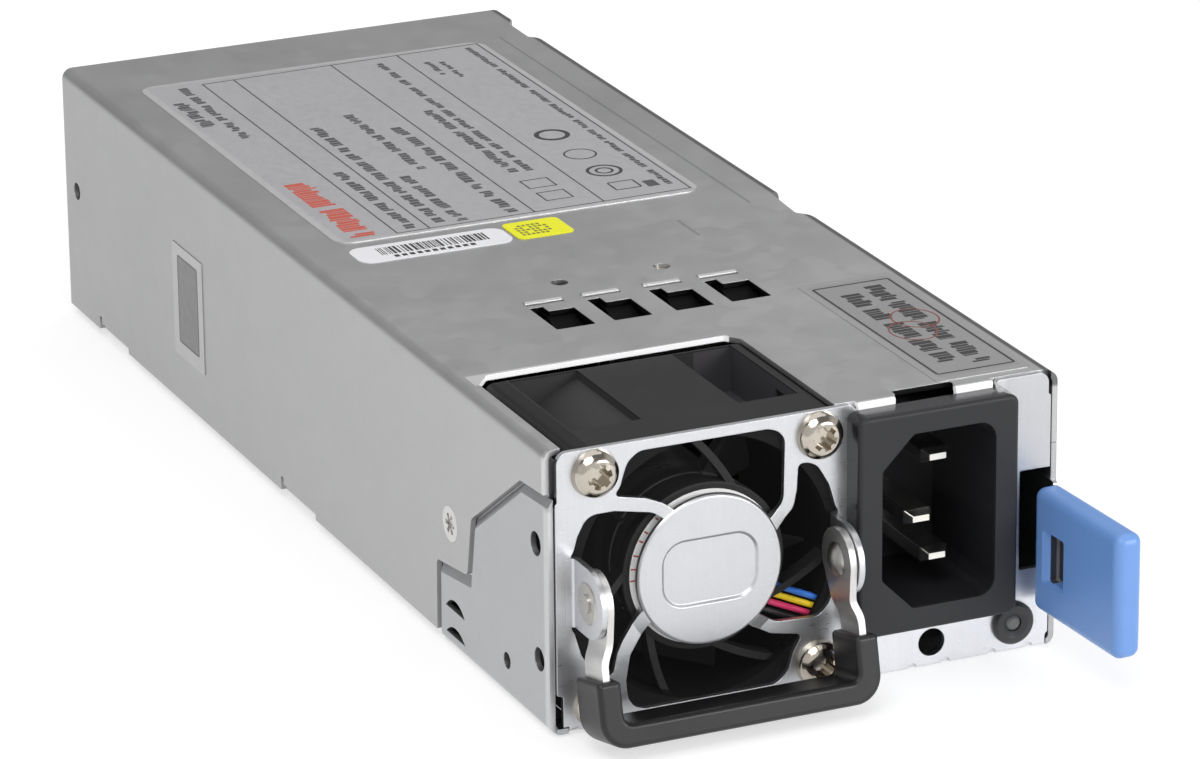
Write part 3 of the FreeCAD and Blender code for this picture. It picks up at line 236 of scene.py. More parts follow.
# ---------------------------------------------------------------- materials
def sheet(name, base, rough, streak="Y", spangle=0.05, grain=0.03, creases=False, edge=0.16, dark=(), bright=(),
          painted_light_zones=()):
    """Zinc-coated sheet: rolled grain, faint spangle, soft handling marks."""
    k = Mat(name)
    k.bevel(edge)
    s = {"Y": (7.0, 0.10, 7.0), "X": (0.10, 7.0, 7.0), "Z": (7.0, 7.0, 0.10)}[streak]
    grain_n = k.noise(1.0, 3.0, 0.6, vec=k.stretch(*s))
    cell = k.grey(k.voronoi(0.32, vec=k.stretch(1, 1, 1)))
    cell2 = k.grey(k.voronoi(1.1))
    cloud = k.noise(0.045, 3.0, 0.55)
    speck = k.noise(5.0, 2.0, 0.6)
    v = k.math("ADD", k.span(grain_n, 0.25, 0.75, 1 - grain, 1 + grain),
               k.span(cell, 0.0, 1.0, -spangle * 0.5, spangle * 0.5))
    v = k.math("ADD", v, k.span(cell2, 0.0, 1.0, -spangle * 0.3, spangle * 0.3))
    v = k.math("ADD", v, k.span(speck, 0.3, 0.7, -grain * 0.7, grain * 0.7))
    v = k.math("ADD", v, k.span(cloud, 0.3, 0.7, -0.02, 0.02))
    col = k.mix(1.0, base, v, "MULTIPLY")
    rr = k.math("ADD", k.span(cloud, 0.3, 0.7, rough - 0.03, rough + 0.03),
                k.span(cell, 0.0, 1.0, -0.035, 0.035))
    scratch = k.noise(1.0, 1.0, 0.5, vec=k.stretch(0.5, 3.0, 9.0, (3.1, 7.7, 1.3)))
    hair = k.span(scratch, 0.70, 0.74, 0.0, 0.12)
    rr = k.math("SUBTRACT", rr, hair, clamp=True)
    k.bump(grain_n, 0.004, 0.5)
    k.bump(speck, 0.005, 0.35)
    if creases:
        x, y, z = k.sep()[0:3]
        top = k.span(z, 38.9, 38.95)
        c1 = k.mul(k.band(x, 30.25, 0.10, 0.16), k.span(y, 78.9, 78.2), k.span(y, -12.4, -11.8), top)
        c2 = k.mul(k.band(x, 17.6, 0.10, 0.16), k.span(y, -14.2, -14.7), k.span(y, -22.2, -21.6), top)
        c3 = k.mul(k.band(y, 78.6, 0.08, 0.12), k.span(x, 28.9, 29.1), k.span(x, 30.5, 30.3), top)
        c = k.math("MAXIMUM", k.math("MAXIMUM", c1, c2), c3)
        # painted shade: the crease lines are also coloured darker, beside the dent made by the bump
        col = k.mix(k.math("MULTIPLY", c, 0.42), col, (0.16, 0.16, 0.165))
        k.bump(k.math("SUBTRACT", 1.0, c), 0.12, 0.8)
    metal = 1.0
    for where, soft, ramp in painted_light_zones:
        # painted light and shade: boxes by position made lighter or darker, some ramped along Y, as the light falls on
        # each face
        f = k.span(k.sep()[1], *ramp) if isinstance(ramp, tuple) else ramp
        col = k.mix(k.inside(*where, soft=soft), col, k.mix(1.0, col, f if isinstance(ramp, tuple) else (f, f, f), "MULTIPLY"))
    # painted shade: near-black colour on cut faces that lie in shadow; painted highlight: near-white colour with a
    # faint glow on cut edges that catch the light
    for r in dark:
        m = k.inside(*r)
        col = k.mix(m, col, (0.02, 0.02, 0.02))
    glow = None
    for r in bright:
        m = k.inside(*r)
        col = k.mix(m, col, (0.92, 0.92, 0.93))
        metal = k.math("SUBTRACT", metal, k.math("MULTIPLY", m, 0.8), clamp=True)
        glow = m if glow is None else k.math("MAXIMUM", glow, m)
    if glow is not None:
        return k.done(col, rr, metal, Emission_Color=(1.0, 1.0, 1.0, 1.0), Emission_Strength=k.math("MULTIPLY", glow, 0.22))
    return k.done(col, rr, metal)


def bright_metal(name, base, rough, bumpy=0.004, tone=0.06):
    """Plated steel, satin to bright, with fine turning or tumbling marks."""
    k = Mat(name)
    n1 = k.noise(1.4, 4.0, 0.6)
    n2 = k.noise(9.0, 2.0, 0.5)
    v = k.math("ADD", k.span(n1, 0.25, 0.75, 1 - tone, 1 + tone), k.span(n2, 0.3, 0.7, -tone * 0.4, tone * 0.4))
    k.bump(n2, bumpy, 0.5)
    return k.done(k.mix(1.0, base, v, "MULTIPLY"), k.span(n1, 0.2, 0.8, rough * 0.8, rough * 1.25), 1.0)


def plastic(name, base, rough, pebble=3.0, depth=0.012, tone=0.14, spec=0.5, worn=None, gloss=None, dark=None, painted_light_tints=(), flat=None,
            duct=None, hub=None, painted_glow=0.0, slab=None):
    """Moulded plastic with a spark-eroded grain."""
    k = Mat(name)
    peb = k.voronoi(pebble, feature="SMOOTH_F1", out="Distance")
    fine = k.noise(pebble * 2.4, 3.0, 0.6)
    cloud = k.noise(0.09, 3.0, 0.6)
    v = k.math("ADD", k.span(fine, 0.3, 0.7, 1 - tone * 0.5, 1 + tone * 0.5), k.span(cloud, 0.3, 0.7, -tone * 0.5, tone * 0.5))
    col = k.mix(1.0, base, v, "MULTIPLY")
    if worn:
        dust = k.span(k.noise(0.8, 5.0, 0.7), 0.58, 0.78, 0.0, worn)
        col = k.mix(dust, col, shade(base, 2.2))
    k.bump(peb, depth, 0.35)
    k.bump(fine, depth * 0.5, 0.3)
    rr = k.span(cloud, 0.3, 0.7, rough - 0.04, rough + 0.05)
    if gloss:
        # polished inside the cavity
        m = k.inside(*gloss[:3])
        rr = k.math("ADD", k.math("MULTIPLY", rr, k.span(m, 0, 1, 1.0, 0.0)), k.span(m, 0, 1, 0.0, gloss[3]))
    # painted light and shade: boxes by position recoloured; on the fan frame painted shade darkens its front face and
    # painted light brightens the pockets on top
    for where, tint in painted_light_tints:
        col = k.mix(k.inside(*where), col, tint)
    if dark:
        # painted shade and highlight: the pocket's back wall is coloured dark for the leaf in shadow seen in the
        # window, with a paler painted highlight streak along it
        m = k.inside(*dark)
        x, y, z = k.sep()[0:3]
        streak = k.band(x, 34.45, 0.12, 0.25)
        col = k.mix(m, col, k.mix(streak, (0.040, 0.041, 0.046), (0.22, 0.22, 0.22)))
    if duct or hub:
        ax, az = (duct or hub)[:2]
        x, y, z = k.sep()[0:3]
        dx, dz = k.math("SUBTRACT", x, ax), k.math("SUBTRACT", z, az)
        r = k.math("SQRT", k.math("ADD", k.math("MULTIPLY", dx, dx), k.math("MULTIPLY", dz, dz)))
    if duct:
        # painted shade: the wall of the round duct is coloured very dark, with less sheen
        wall = k.mul(k.span(r, duct[2], duct[2] + 0.05), k.span(r, duct[3], duct[3] - 0.05), k.span(y, -91.6, -91.5))
        col = k.mix(wall, col, (0.004, 0.004, 0.004))
        spec = k.span(wall, 0.0, 1.0, spec, 0.06)
        rr = k.math("ADD", rr, k.math("MULTIPLY", wall, 0.2), clamp=True)
    if hub:
        # painted highlights: a broad paler band and a fine bright band round the hub's side; the blades are matt black
        side = k.span(r, hub[2], hub[2] - 0.05)
        hub_broad_highlight = k.mul(side, k.band(y, -81.2, 0.7, 1.3))
        fine = k.mul(side, k.band(y, -85.3, 0.10, 0.22))
        col = k.mix(hub_broad_highlight, col, (0.060, 0.060, 0.062))
        col = k.mix(fine, col, (0.26, 0.27, 0.26))
        spec = k.span(side, 0.0, 1.0, 0.05, spec)
        col = k.mix(side, (0.010, 0.010, 0.010), col)
    if slab:
        # painted shade: the upper side of the bar is coloured darker, and it is matt
        x, y, z = k.sep()[0:3]
        u = k.math("ADD", k.math("MULTIPLY", k.math("SUBTRACT", 19.5, z), math.cos(slab[0])),
                   k.math("MULTIPLY", k.math("SUBTRACT", -96.6, y), math.sin(slab[0])))
        top = k.mul(k.span(u, slab[2], slab[1]), k.inside(slab[3], soft=0.3))
        col = k.mix(top, col, (0.009, 0.009, 0.0095))
        spec = k.span(top, 0.0, 1.0, spec, 0.12)
    if flat:
        # less sheen on this face
        for face in flat:
            m = k.inside(*face[:3])
            spec = k.math("ADD", k.math("MULTIPLY", k.span(m, 0.0, 1.0, 1.0, 0.0), spec), k.math("MULTIPLY", m, face[3]))
    if painted_glow:
        # painted light: a faint emission keeps the black plastic deep in the housing from reading quite black
        return k.done(col, rr, 0.0, Specular_IOR_Level=spec, Emission_Color=(1.0, 1.0, 1.0, 1.0), Emission_Strength=painted_glow)
    return k.done(col, rr, 0.0, Specular_IOR_Level=spec)


def label_stock(name, base, rough, metal=0.0, rim=None):
    """Coated label film: faint orange peel and fibres, an edge that catches the light."""
    k = Mat(name)
    fib = k.noise(2.2, 4.0, 0.65, vec=k.stretch(1.0, 0.35, 1.0))
    peel = k.noise(0.9, 2.0, 0.5)
    cloud = k.noise(0.05, 2.0, 0.5)
    v = k.math("ADD", k.span(fib, 0.3, 0.7, 0.985, 1.015), k.span(cloud, 0.3, 0.7, -0.015, 0.015))
    col = k.mix(1.0, base, v, "MULTIPLY")
    if rim:
        # a slightly lighter margin outside the printed frame
        x0, x1, y0, y1, c = rim
        x, y, z = k.sep()[0:3]
        inside = k.mul(k.span(x, x0, x0 + .3), k.span(x, x1, x1 - .3), k.span(y, y0, y0 + .3), k.span(y, y1, y1 - .3))
        col = k.mix(inside, c, col)
    k.bump(peel, 0.010, 0.5)
    k.bump(fib, 0.004, 0.4)
    return k.done(col, k.span(peel, 0.3, 0.7, rough - 0.03, rough + 0.05), metal, Specular_IOR_Level=0.5)


def ink(name, base, rough=0.45):
    k = Mat(name)
    n = k.noise(6.0, 3.0, 0.6)
    return k.done(k.mix(1.0, base, k.span(n, 0.3, 0.7, 0.86, 1.12), "MULTIPLY"), k.span(n, 0.3, 0.7, rough - 0.05, rough + 0.05), 0.0)


def board(name, base=(0.012, 0.085, 0.035)):
    """Solder mask with buried tracks and small tinned lands."""
    k = Mat(name)
    tr = k.voronoi(0.42, feature="DISTANCE_TO_EDGE", out="Distance")
    track = k.span(tr, 0.10, 0.16, 1.0, 0.0)
    via = k.span(k.voronoi(0.55, out="Distance"), 0.16, 0.20, 1.0, 0.0)
    weave = k.math("MULTIPLY", k.wave(1.3, "X"), k.wave(1.3, "Y"))
    col = k.mix(k.math("MULTIPLY", track, 0.55), base, shade(base, 2.3))
    col = k.mix(k.math("MULTIPLY", weave, 0.12), col, shade(base, 0.5))
    col = k.mix(via, col, (0.55, 0.52, 0.45))
    k.bump(track, 0.03, 0.5)
    return k.done(col, k.span(via, 0, 1, 0.33, 0.28), k.math("MULTIPLY", via, 0.9), Coat_Weight=0.3, Coat_Roughness=0.2)


def wound(name, base, scale, axis, rough=0.28, metal=0.9):
    """Turns of enamelled wire or of tape, as fine ridges."""
    k = Mat(name)
    w = k.wave(scale, axis, distort=0.4)
    n = k.noise(1.2, 3.0, 0.6)
    col = k.mix(k.span(w, 0.0, 0.5, 0.55, 0.0), base, shade(base, 0.35))
    col = k.mix(1.0, col, k.span(n, 0.3, 0.7, 0.85, 1.12), "MULTIPLY")
    k.bump(w, 0.12, 0.8)
    return k.done(col, k.span(n, 0.3, 0.7, rough - 0.05, rough + 0.08), metal)


def ferrite(name):
    k = Mat(name)
    n = k.noise(2.5, 5.0, 0.7)
    pit = k.span(k.voronoi(2.2, out="Distance"), 0.10, 0.22, 0.0, 1.0)
    col = k.mix(k.span(n, 0.3, 0.7), (0.030, 0.030, 0.033), (0.062, 0.060, 0.060))
    k.bump(pit, 0.05, 0.4)
    return k.done(col, k.span(n, 0.3, 0.7, 0.42, 0.62), 0.0)


def extruded(name, base=(0.62, 0.63, 0.65)):
    k = Mat(name)
    d = k.noise(1.0, 3.0, 0.6, vec=k.stretch(6, 0.12, 6))
    n = k.noise(0.5, 3.0, 0.6)
    col = k.mix(1.0, base, k.math("ADD", k.span(d, 0.3, 0.7, 0.92, 1.05), k.span(n, 0.3, 0.7, -0.03, 0.03)), "MULTIPLY")
    k.bump(d, 0.01, 0.6)
    return k.done(col, k.span(n, 0.3, 0.7, 0.28, 0.42), 1.0)


def wire_skin(name, base):
    k = Mat(name)
    n = k.noise(3.0, 3.0, 0.6)
    k.bump(n, 0.01, 0.4)
    return k.done(k.mix(1.0, base, k.span(n, 0.3, 0.7, 0.9, 1.08), "MULTIPLY"), k.span(n, 0.3, 0.7, 0.30, 0.42), 0.0)


def sleeve_can(name, base, stripe):
    """Shrunk sleeve on a can, with the pale minus stripe down one side."""
    k = Mat(name)
    x, y, z = k.sep()[0:3]
    n = k.noise(0.7, 3.0, 0.6)
    s = k.band(z, 24.0, 1.6, 0.1)
    dash = k.span(k.wave(0.16, "Y"), 0.35, 0.45, 0.0, 1.0)
    col = k.mix(k.math("MULTIPLY", s, dash), base, stripe)
    k.bump(n, 0.03, 0.4)
    return k.done(col, k.span(n, 0.3, 0.7, 0.22, 0.34), 0.0)


def moulded_case(name, base, rough=0.35, line=None):
    k = Mat(name)
    n = k.noise(2.0, 4.0, 0.6)
    c = k.noise(0.15, 2.0, 0.5)
    col = k.mix(1.0, base, k.math("ADD", k.span(n, 0.3, 0.7, 0.94, 1.06), k.span(c, 0.3, 0.7, -0.05, 0.05)), "MULTIPLY")
    k.bump(n, 0.01, 0.4)
    return k.done(col, k.span(c, 0.3, 0.7, rough - 0.05, rough + 0.06), 0.0)


M = {}
# painted light and shade on the cover: lighter and darker boxes by position, painted shade in the vents and slot, and
# painted highlights with a faint glow on the window's rear edge and the front lips
M["cover"] = sheet("mat_cover_sheet", (0.465, 0.466, 0.470), 0.44, "Y", 0.030, 0.014, creases=True,
                   dark=(((-16.7, 15.9), (-49.8, -39.9), (37.9, 38.90)), ((12.6, 22.2), (-91.2, -90.1), (37.9, 38.94))),
                   bright=(((-35.0, 3.2), (-65.0, -61.2), (37.9, 38.98)), ((7.3, 12.9), (-92.8, -91.6), (37.5, 38.9)),
                           ((21.6, 27.2), (-92.8, -91.6), (37.5, 38.9))),
                   painted_light_zones=(((( -35.6, 34.9), None, (38.5, 39.6)), 0.15, (-92, 20, 1.18, 1.05)),
                          (((-40.0, -2.0), (20.0, 95.0), (38.5, 39.6)), 1.5, 0.955),
                          (((-37.5, -35.9), None, (-1, 38.4)), 0.2, (-92, 60, 1.0, 0.87)),
                          (((13.0, 36.0), (-60.0, 12.0), (38.5, 39.6)), 5.0, 1.17),
                          (((-22.0, 9.0), (-33.0, 4.0), (38.5, 39.6)), 5.0, 0.87),
                          (((-37.5, -36.0), (-91.4, -90.3), (20.0, 39.0)), 0.15, 1.4),
                          (((34.9, 37.2), None, (36.8, 39.4)), 0.2, 0.34)))
# painted light and shade on the base: a painted highlight on the flank's front bend, the low flank slightly lighter,
# and painted shade in the slot at the foot of the flank's front
M["base"] = sheet("mat_base_sheet", (0.440, 0.444, 0.453), 0.42, "Y", 0.030, 0.014,
                  painted_light_zones=((((-37.6, -36.3), (-93.0, -90.7), (-1.0, 31.0)), 0.25, 1.30),
                         (((-37.6, -36.3), (-90.7, -55.0), (-1.0, 12.0)), 3.0, 1.06),
                         (((-35.9, -33.0), (-93.5, -89.0), (0.79, 2.6)), 0.02, 0.12)))
# painted light and shade on the front panel: the right strip and the disc darker, painted shade in the gap at the
# cover's flank, the foot strip and the strip under the latch tab lighter
M["front"] = sheet("mat_front_sheet", (0.60, 0.607, 0.628), 0.36, "Z", 0.030, 0.022,
                   painted_light_zones=((((28.9, 38.0), None, (7.2, 40.0)), 0.5, 0.82),
                          (((-25.4, -3.8), None, (9.0, 30.2)), 0.3, 0.96),
                          (((-36.3, -35.4), (-92.46, -91.0), (31.5, 38.6)), 0.03, 0.10),
                          (((6.5, 38.0), None, (-1.0, 7.2)), 0.5, 1.22),
                          (((31.0, 37.0), None, (6.8, 11.6)), 0.4, 1.25)))
M["rear"] = sheet("mat_rear_sheet", (0.47, 0.474, 0.482), 0.42, "X", 0.030, 0.014)
M["nickel"] = bright_metal("mat_nickel", (0.505, 0.462, 0.400), 0.14)
M["rivet"] = bright_metal("mat_rivet", (0.50, 0.49, 0.46), 0.30)
M["spring"] = bright_metal("mat_spring_steel", (0.42, 0.43, 0.45), 0.32, tone=0.10)
M["strap"] = bright_metal("mat_strap_steel", (0.64, 0.635, 0.625), 0.40)
M["shaft"] = bright_metal("mat_ground_steel", (0.72, 0.72, 0.74), 0.12)
M["post"] = bright_metal("mat_brass_post", (0.72, 0.55, 0.26), 0.26)
M["gold"] = bright_metal("mat_gold_contact", (0.88, 0.68, 0.28), 0.22, 0.002, 0.04)
M["tin"] = bright_metal("mat_tinned_copper", (0.72, 0.72, 0.73), 0.34)
M["pin"] = bright_metal("mat_inlet_pin", (0.76, 0.74, 0.69), 0.20, 0.002, 0.04)
M["inlet"] = plastic("mat_inlet_plastic", (0.0165, 0.0168, 0.0195), 0.50, 3.2, 0.016, 0.20, spec=0.34, worn=0.25,
                     gloss=(None, (-95.7, -70.0), None, 0.16))
# the fan frame: painted shade on its front face and on the duct wall, painted light in the pockets on top, and a faint
# painted glow
M["fan"] = plastic("mat_fan_plastic", (0.013, 0.013, 0.0135), 0.50, 2.6, 0.010, 0.14, spec=0.22, worn=0.15,
                   painted_light_tints=(((None, (-92.0, -91.62), None), (0.003, 0.003, 0.003)),
                          (((-30.2, -19.8), (-84.7, -63.8), (31.0, 38.3)), (0.036, 0.0355, 0.036)),
                          (((-6.4, -3.0), (-84.7, -63.8), (31.0, 38.3)), (0.020, 0.020, 0.020)),
                          (((-3.0, 2.8), (-84.7, -63.8), (31.0, 38.3)), (0.045, 0.042, 0.047))),
                   flat=((None, (-92.0, -91.62), None, 0.12), ((-34.0, -30.2), (-92.0, -63.0), (38.3, 39.0), 0.10)),
                   duct=(-14.3, 19.5, 17.35, 18.6), painted_glow=0.0035)
# the rotor: painted highlight bands round the hub and a faint painted glow
M["rotor"] = plastic("mat_rotor_plastic", (0.020, 0.020, 0.0205), 0.30, 2.6, 0.008, 0.12, spec=0.35,
                     hub=(-14.3, 19.5, 11.2), painted_glow=0.0062)
# the grip: painted shade on the bar's upper side
M["grip"] = plastic("mat_grip_plastic", (0.0128, 0.0130, 0.0140), 0.38, 3.6, 0.012, 0.14, spec=0.40, worn=0.15,
                    slab=(math.radians(13.0), 15.85, 16.35, (-31.0, 1.8)))
M["bezel"] = plastic("mat_bezel_plastic", (0.024, 0.024, 0.027), 0.42, 4.0, 0.008, 0.12)
# the latch tab: painted shade and a painted highlight streak on the back wall of the pocket in its window
M["blue"] = plastic("mat_blue_plastic", (0.126, 0.262, 0.575), 0.36, 4.0, 0.006, 0.05, spec=0.50,
                    dark=((33.3, 35.3), (-98.7, -97.1), (11.3, 18.3)))
M["film"] = plastic("mat_black_film", (0.004, 0.004, 0.004), 0.55, 1.2, 0.008, 0.16, spec=0.06)
M["greyfilm"] = plastic("mat_grey_film", (0.10, 0.105, 0.11), 0.42, 1.2, 0.008, 0.12)
M["nylon"] = plastic("mat_nylon", (0.78, 0.75, 0.66), 0.38, 3.0, 0.006, 0.06)
M["silver_label"] = label_stock("mat_silver_label", (0.645, 0.636, 0.655), 0.46, 1.0,
                                (-28.9, 25.9, -3.4, 76.9, (0.72, 0.72, 0.725)))
M["white_label"] = label_stock("mat_white_label", (0.71, 0.71, 0.735), 0.42)
M["fan_label"] = label_stock("mat_fan_label", (0.84, 0.84, 0.83), 0.35)
M["seal"] = label_stock("mat_seal_label", (0.46, 0.452, 0.46), 0.42, 0.9, (20.9, 33.5, -88.9, -48.9, (0.50, 0.50, 0.50)))
M["yellow"] = label_stock("mat_yellow_label", (0.74, 0.735, 0.002), 0.52)
M["side_label"] = label_stock("mat_side_label", (0.47, 0.47, 0.475), 0.42, 0.95)
M["ink"] = ink("mat_ink_dark", (0.022, 0.022, 0.024))
M["ink_grey"] = ink("mat_ink_grey", (0.060, 0.060, 0.064))
M["ink_red"] = ink("mat_ink_red", (0.47, 0.070, 0.040))
M["ink_brown"] = ink("mat_ink_brown", (0.20, 0.055, 0.04))
M["ink_olive"] = ink("mat_ink_olive", (0.20, 0.19, 0.02))
M["window_grey"] = label_stock("mat_window_grey", (0.235, 0.235, 0.24), 0.46, 0.9)
M["board"] = board("mat_circuit_board")
M["copper"] = wound("mat_copper_turns", (0.62, 0.25, 0.10), 2.4, "X")
M["coil_tape"] = wound("mat_coil_tape", (0.62, 0.50, 0.06), 0.5, "Z", 0.32, 0.0)
M["lamination"] = wound("mat_lamination", (0.34, 0.34, 0.35), 1.0, "Y", 0.36, 1.0)
M["ferrite"] = ferrite("mat_ferrite")
M["sink"] = extruded("mat_extruded_aluminium")
M["epoxy"] = moulded_case("mat_epoxy_package", (0.020, 0.020, 0.022), 0.40)
M["can"] = sleeve_can("mat_capacitor_sleeve", (0.018, 0.018, 0.022), (0.55, 0.55, 0.57))
M["film_cap"] = moulded_case("mat_film_capacitor", (0.72, 0.47, 0.03), 0.30)
M["relay"] = moulded_case("mat_relay_case", (0.016, 0.017, 0.020), 0.34)
M["fuse"] = moulded_case("mat_fuse_body", (0.76, 0.75, 0.70), 0.22)
M["w_blue"] = wire_skin("mat_wire_blue", (0.045, 0.20, 0.72))
M["w_yellow"] = wire_skin("mat_wire_yellow", (0.86, 0.62, 0.02))
M["w_red"] = wire_skin("mat_wire_red", (0.72, 0.045, 0.16))
M["w_black"] = wire_skin("mat_wire_black", (0.018, 0.018, 0.018))
M["w_brown"] = wire_skin("mat_wire_brown", (0.16, 0.07, 0.03))


def lens_mat():
    k = Mat("mat_light_pipe")
    n = k.noise(2.0, 2.0, 0.5)
    k.bump(n, 0.01, 0.3)
    return k.done(k.mix(1.0, (0.20, 0.205, 0.20), k.span(n, 0.3, 0.7, 0.95, 1.05), "MULTIPLY"), 0.10, 0.0,
                  Transmission_Weight=0.35, IOR=1.49)


M["lens"] = lens_mat()

DRESS = {
    "base_chassis": "base", "top_cover": "cover", "front_panel": "front", "rear_panel": "rear",
    "insulation_sheet": "greyfilm", "pcb_standoffs": "post", "case_screws": "strap", "handle_ears": "front",
    "lid_insulator": "film", "main_board": "board", "card_edge_contacts": "gold",
    "inlet_housing": "inlet", "inlet_blades": "pin", "inlet_board": "board", "inlet_leads": "w_brown",
    "fan_frame": "fan", "fan_sticker": "fan_label", "fan_stator": "lamination", "fan_windings": "copper",
    "fan_bearings": "shaft", "fan_rotor": "rotor", "fan_magnet": "ferrite", "fan_shaft": "shaft",
    "fan_wire_blue": "w_blue", "fan_wire_yellow": "w_yellow", "fan_wire_red": "w_red", "fan_wire_black": "w_black",
    "fan_connector": "nylon", "fan_screws": "nickel",
    "handle_strap": "strap", "handle_grip": "grip", "handle_rivets": "rivet",
    "latch_spring": "spring", "latch_tab": "blue", "latch_rivets": "rivet",
    "led_bezel": "bezel", "led_light_pipe": "lens", "led_board": "board",
    "rating_label": "silver_label", "barcode_label": "white_label", "inspection_sticker": "yellow",
    "seal_sticker": "seal", "side_sticker": "side_label",
    "filter_choke_core": "ferrite", "filter_choke_winding": "copper", "filter_capacitors": "film_cap",
    "relay": "relay", "line_fuse": "fuse", "pfc_choke_core": "ferrite", "pfc_choke_winding": "copper",
    "primary_heat_sink": "sink", "power_transistors": "epoxy", "bulk_capacitor": "can",
    "main_transformer_core": "ferrite", "main_transformer_coil": "coil_tape", "standby_transformer": "coil_tape",
    "output_heat_sink": "sink", "bus_bars": "tin", "output_capacitors": "can", "control_board": "board",
}
for node, key in DRESS.items():
    if node not in NODES:
        continue
    o = NODES[node]
    o.data.materials.clear()
    o.data.materials.append(M[key])


# --------------------------------------------------------------- mesh helper
class Shape:
    """Collects closed prisms in millimetres and makes one object of them."""

    def __init__(self):
        self.v, self.f = [], []

    def prism(self, ring, z0, z1, put=None):
        put = put or (lambda a, b, c: (a, b, c))
        n = len(ring)
        i = len(self.v)
        self.v += [put(a, b, z0) for a, b in ring] + [put(a, b, z1) for a, b in ring]
        self.f.append(tuple(range(i + n - 1, i - 1, -1)))
        self.f.append(tuple(range(i + n, i + 2 * n)))
        for k in range(n):
            j = (k + 1) % n
            self.f.append((i + k, i + j, i + n + j, i + n + k))

    def rect(self, a0, a1, b0, b1, z0, z1, put=None):
        self.prism([(a0, b0), (a1, b0), (a1, b1), (a0, b1)], z0, z1, put)

    def frame(self, ring, width, z0, z1, put=None):
        """A closed line of that width just inside a convex ring of points."""
        n = len(ring)
        cxx = sum(p[0] for p in ring) / n
        cyy = sum(p[1] for p in ring) / n
        inner = []
        for k in range(n):
            p0, p, p1 = ring[k - 1], ring[k], ring[(k + 1) % n]
            d0 = Vector((p[0] - p0[0], p[1] - p0[1])).normalized()
            d1 = Vector((p1[0] - p[0], p1[1] - p[1])).normalized()
            n0, n1 = Vector((-d0.y, d0.x)), Vector((-d1.y, d1.x))
            m = (n0 + n1).normalized()
            s = width / max(0.3, m.dot(n0))
            if m.dot(Vector((cxx - p[0], cyy - p[1]))) < 0:
                s = -s
            inner.append((p[0] + m.x * s, p[1] + m.y * s))
        put = put or (lambda a, b, c: (a, b, c))
        i = len(self.v)
        for z in (z0, z1):
            self.v += [put(a, b, z) for a, b in ring]
            self.v += [put(a, b, z) for a, b in inner]
        for k in range(n):
            j = (k + 1) % n
            o0, i0, o1, i1 = i, i + n, i + 2 * n, i + 3 * n
            self.f += [(o0 + k, o0 + j, o1 + j, o1 + k), (i0 + j, i0 + k, i1 + k, i1 + j),
                       (o1 + k, o1 + j, i1 + j, i1 + k), (o0 + j, o0 + k, i0 + k, i0 + j)]

    def make(self, name, mat, body="chassis"):
        me = bpy.data.meshes.new(name)
        me.from_pydata([(a * MM, b * MM, c * MM) for a, b, c in self.v], [], self.f)
        bm = bmesh.new()
        bm.from_mesh(me)
        bmesh.ops.recalc_face_normals(bm, faces=bm.faces)
        bm.to_mesh(me)
        bm.free()
        me.materials.append(mat)
        o = bpy.data.objects.new(name, me)
        scene.collection.objects.link(o)
        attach(o, body)
        return o


def rounded(a0, a1, b0, b1, r, n=6):
    pts = []
    for ca, cb, s in ((a1 - r, b0 + r, -90), (a1 - r, b1 - r, 0), (a0 + r, b1 - r, 90), (a0 + r, b0 + r, 180)):
        for k in range(n + 1):
            t = math.radians(s + 90.0 * k / n)
            pts.append((ca + r * math.cos(t), cb + r * math.sin(t)))
    return pts


def circle(ca, cb, r, n=32):
    return [(ca + r * math.cos(2 * math.pi * k / n), cb + r * math.sin(2 * math.pi * k / n)) for k in range(n)]


# -------------------------------------------------------------- printed marks
rng = random.Random(11)


def greek(shape, x, y0, y1, h, z0, z1, word=(2.2, 6.0), gap=0.9, stroke=0.0):
    """A line of type stood for by bars: x is the row's middle, it runs along Y."""
    y = y1
    while y - 0.6 > y0:
        w = rng.uniform(*word)
        e = max(y0, y - w)
        # a word is a few close blocks of slightly different height
        q = y
        while q - 0.25 > e:
            b = rng.uniform(0.45, 1.15)
            hh = h * rng.uniform(0.72, 1.0)
            o = (h - hh) / 2 * rng.choice((-1, 1))
            qe = max(e, q - b)
            shape.rect(x + o - hh / 2, x + o + hh / 2, qe, q, z0, z1)
            q = qe - 0.17
        y = e - gap * rng.uniform(0.8, 1.4)


ZL = 39.12
z0, z1 = ZL - 0.004, ZL + 0.010
dark = Shape()
dark.frame([(-20.6, -3.1), (25.4, -2.6), (25.6, 76.6), (-20.4, 75.2)], 0.22, z0, z1)
for xa, ya, xb, yb in ((-15.5, -3.0, -15.2, 75.3), (0.75, -2.9, 0.95, 75.8), (11.6, -2.8, 12.0, 76.1)):
    dark.prism([(xa - .11, ya), (xa + .11, ya), (xb + .11, yb), (xb - .11, yb)], z0, z1)
dark.make("label_rules", M["ink"])

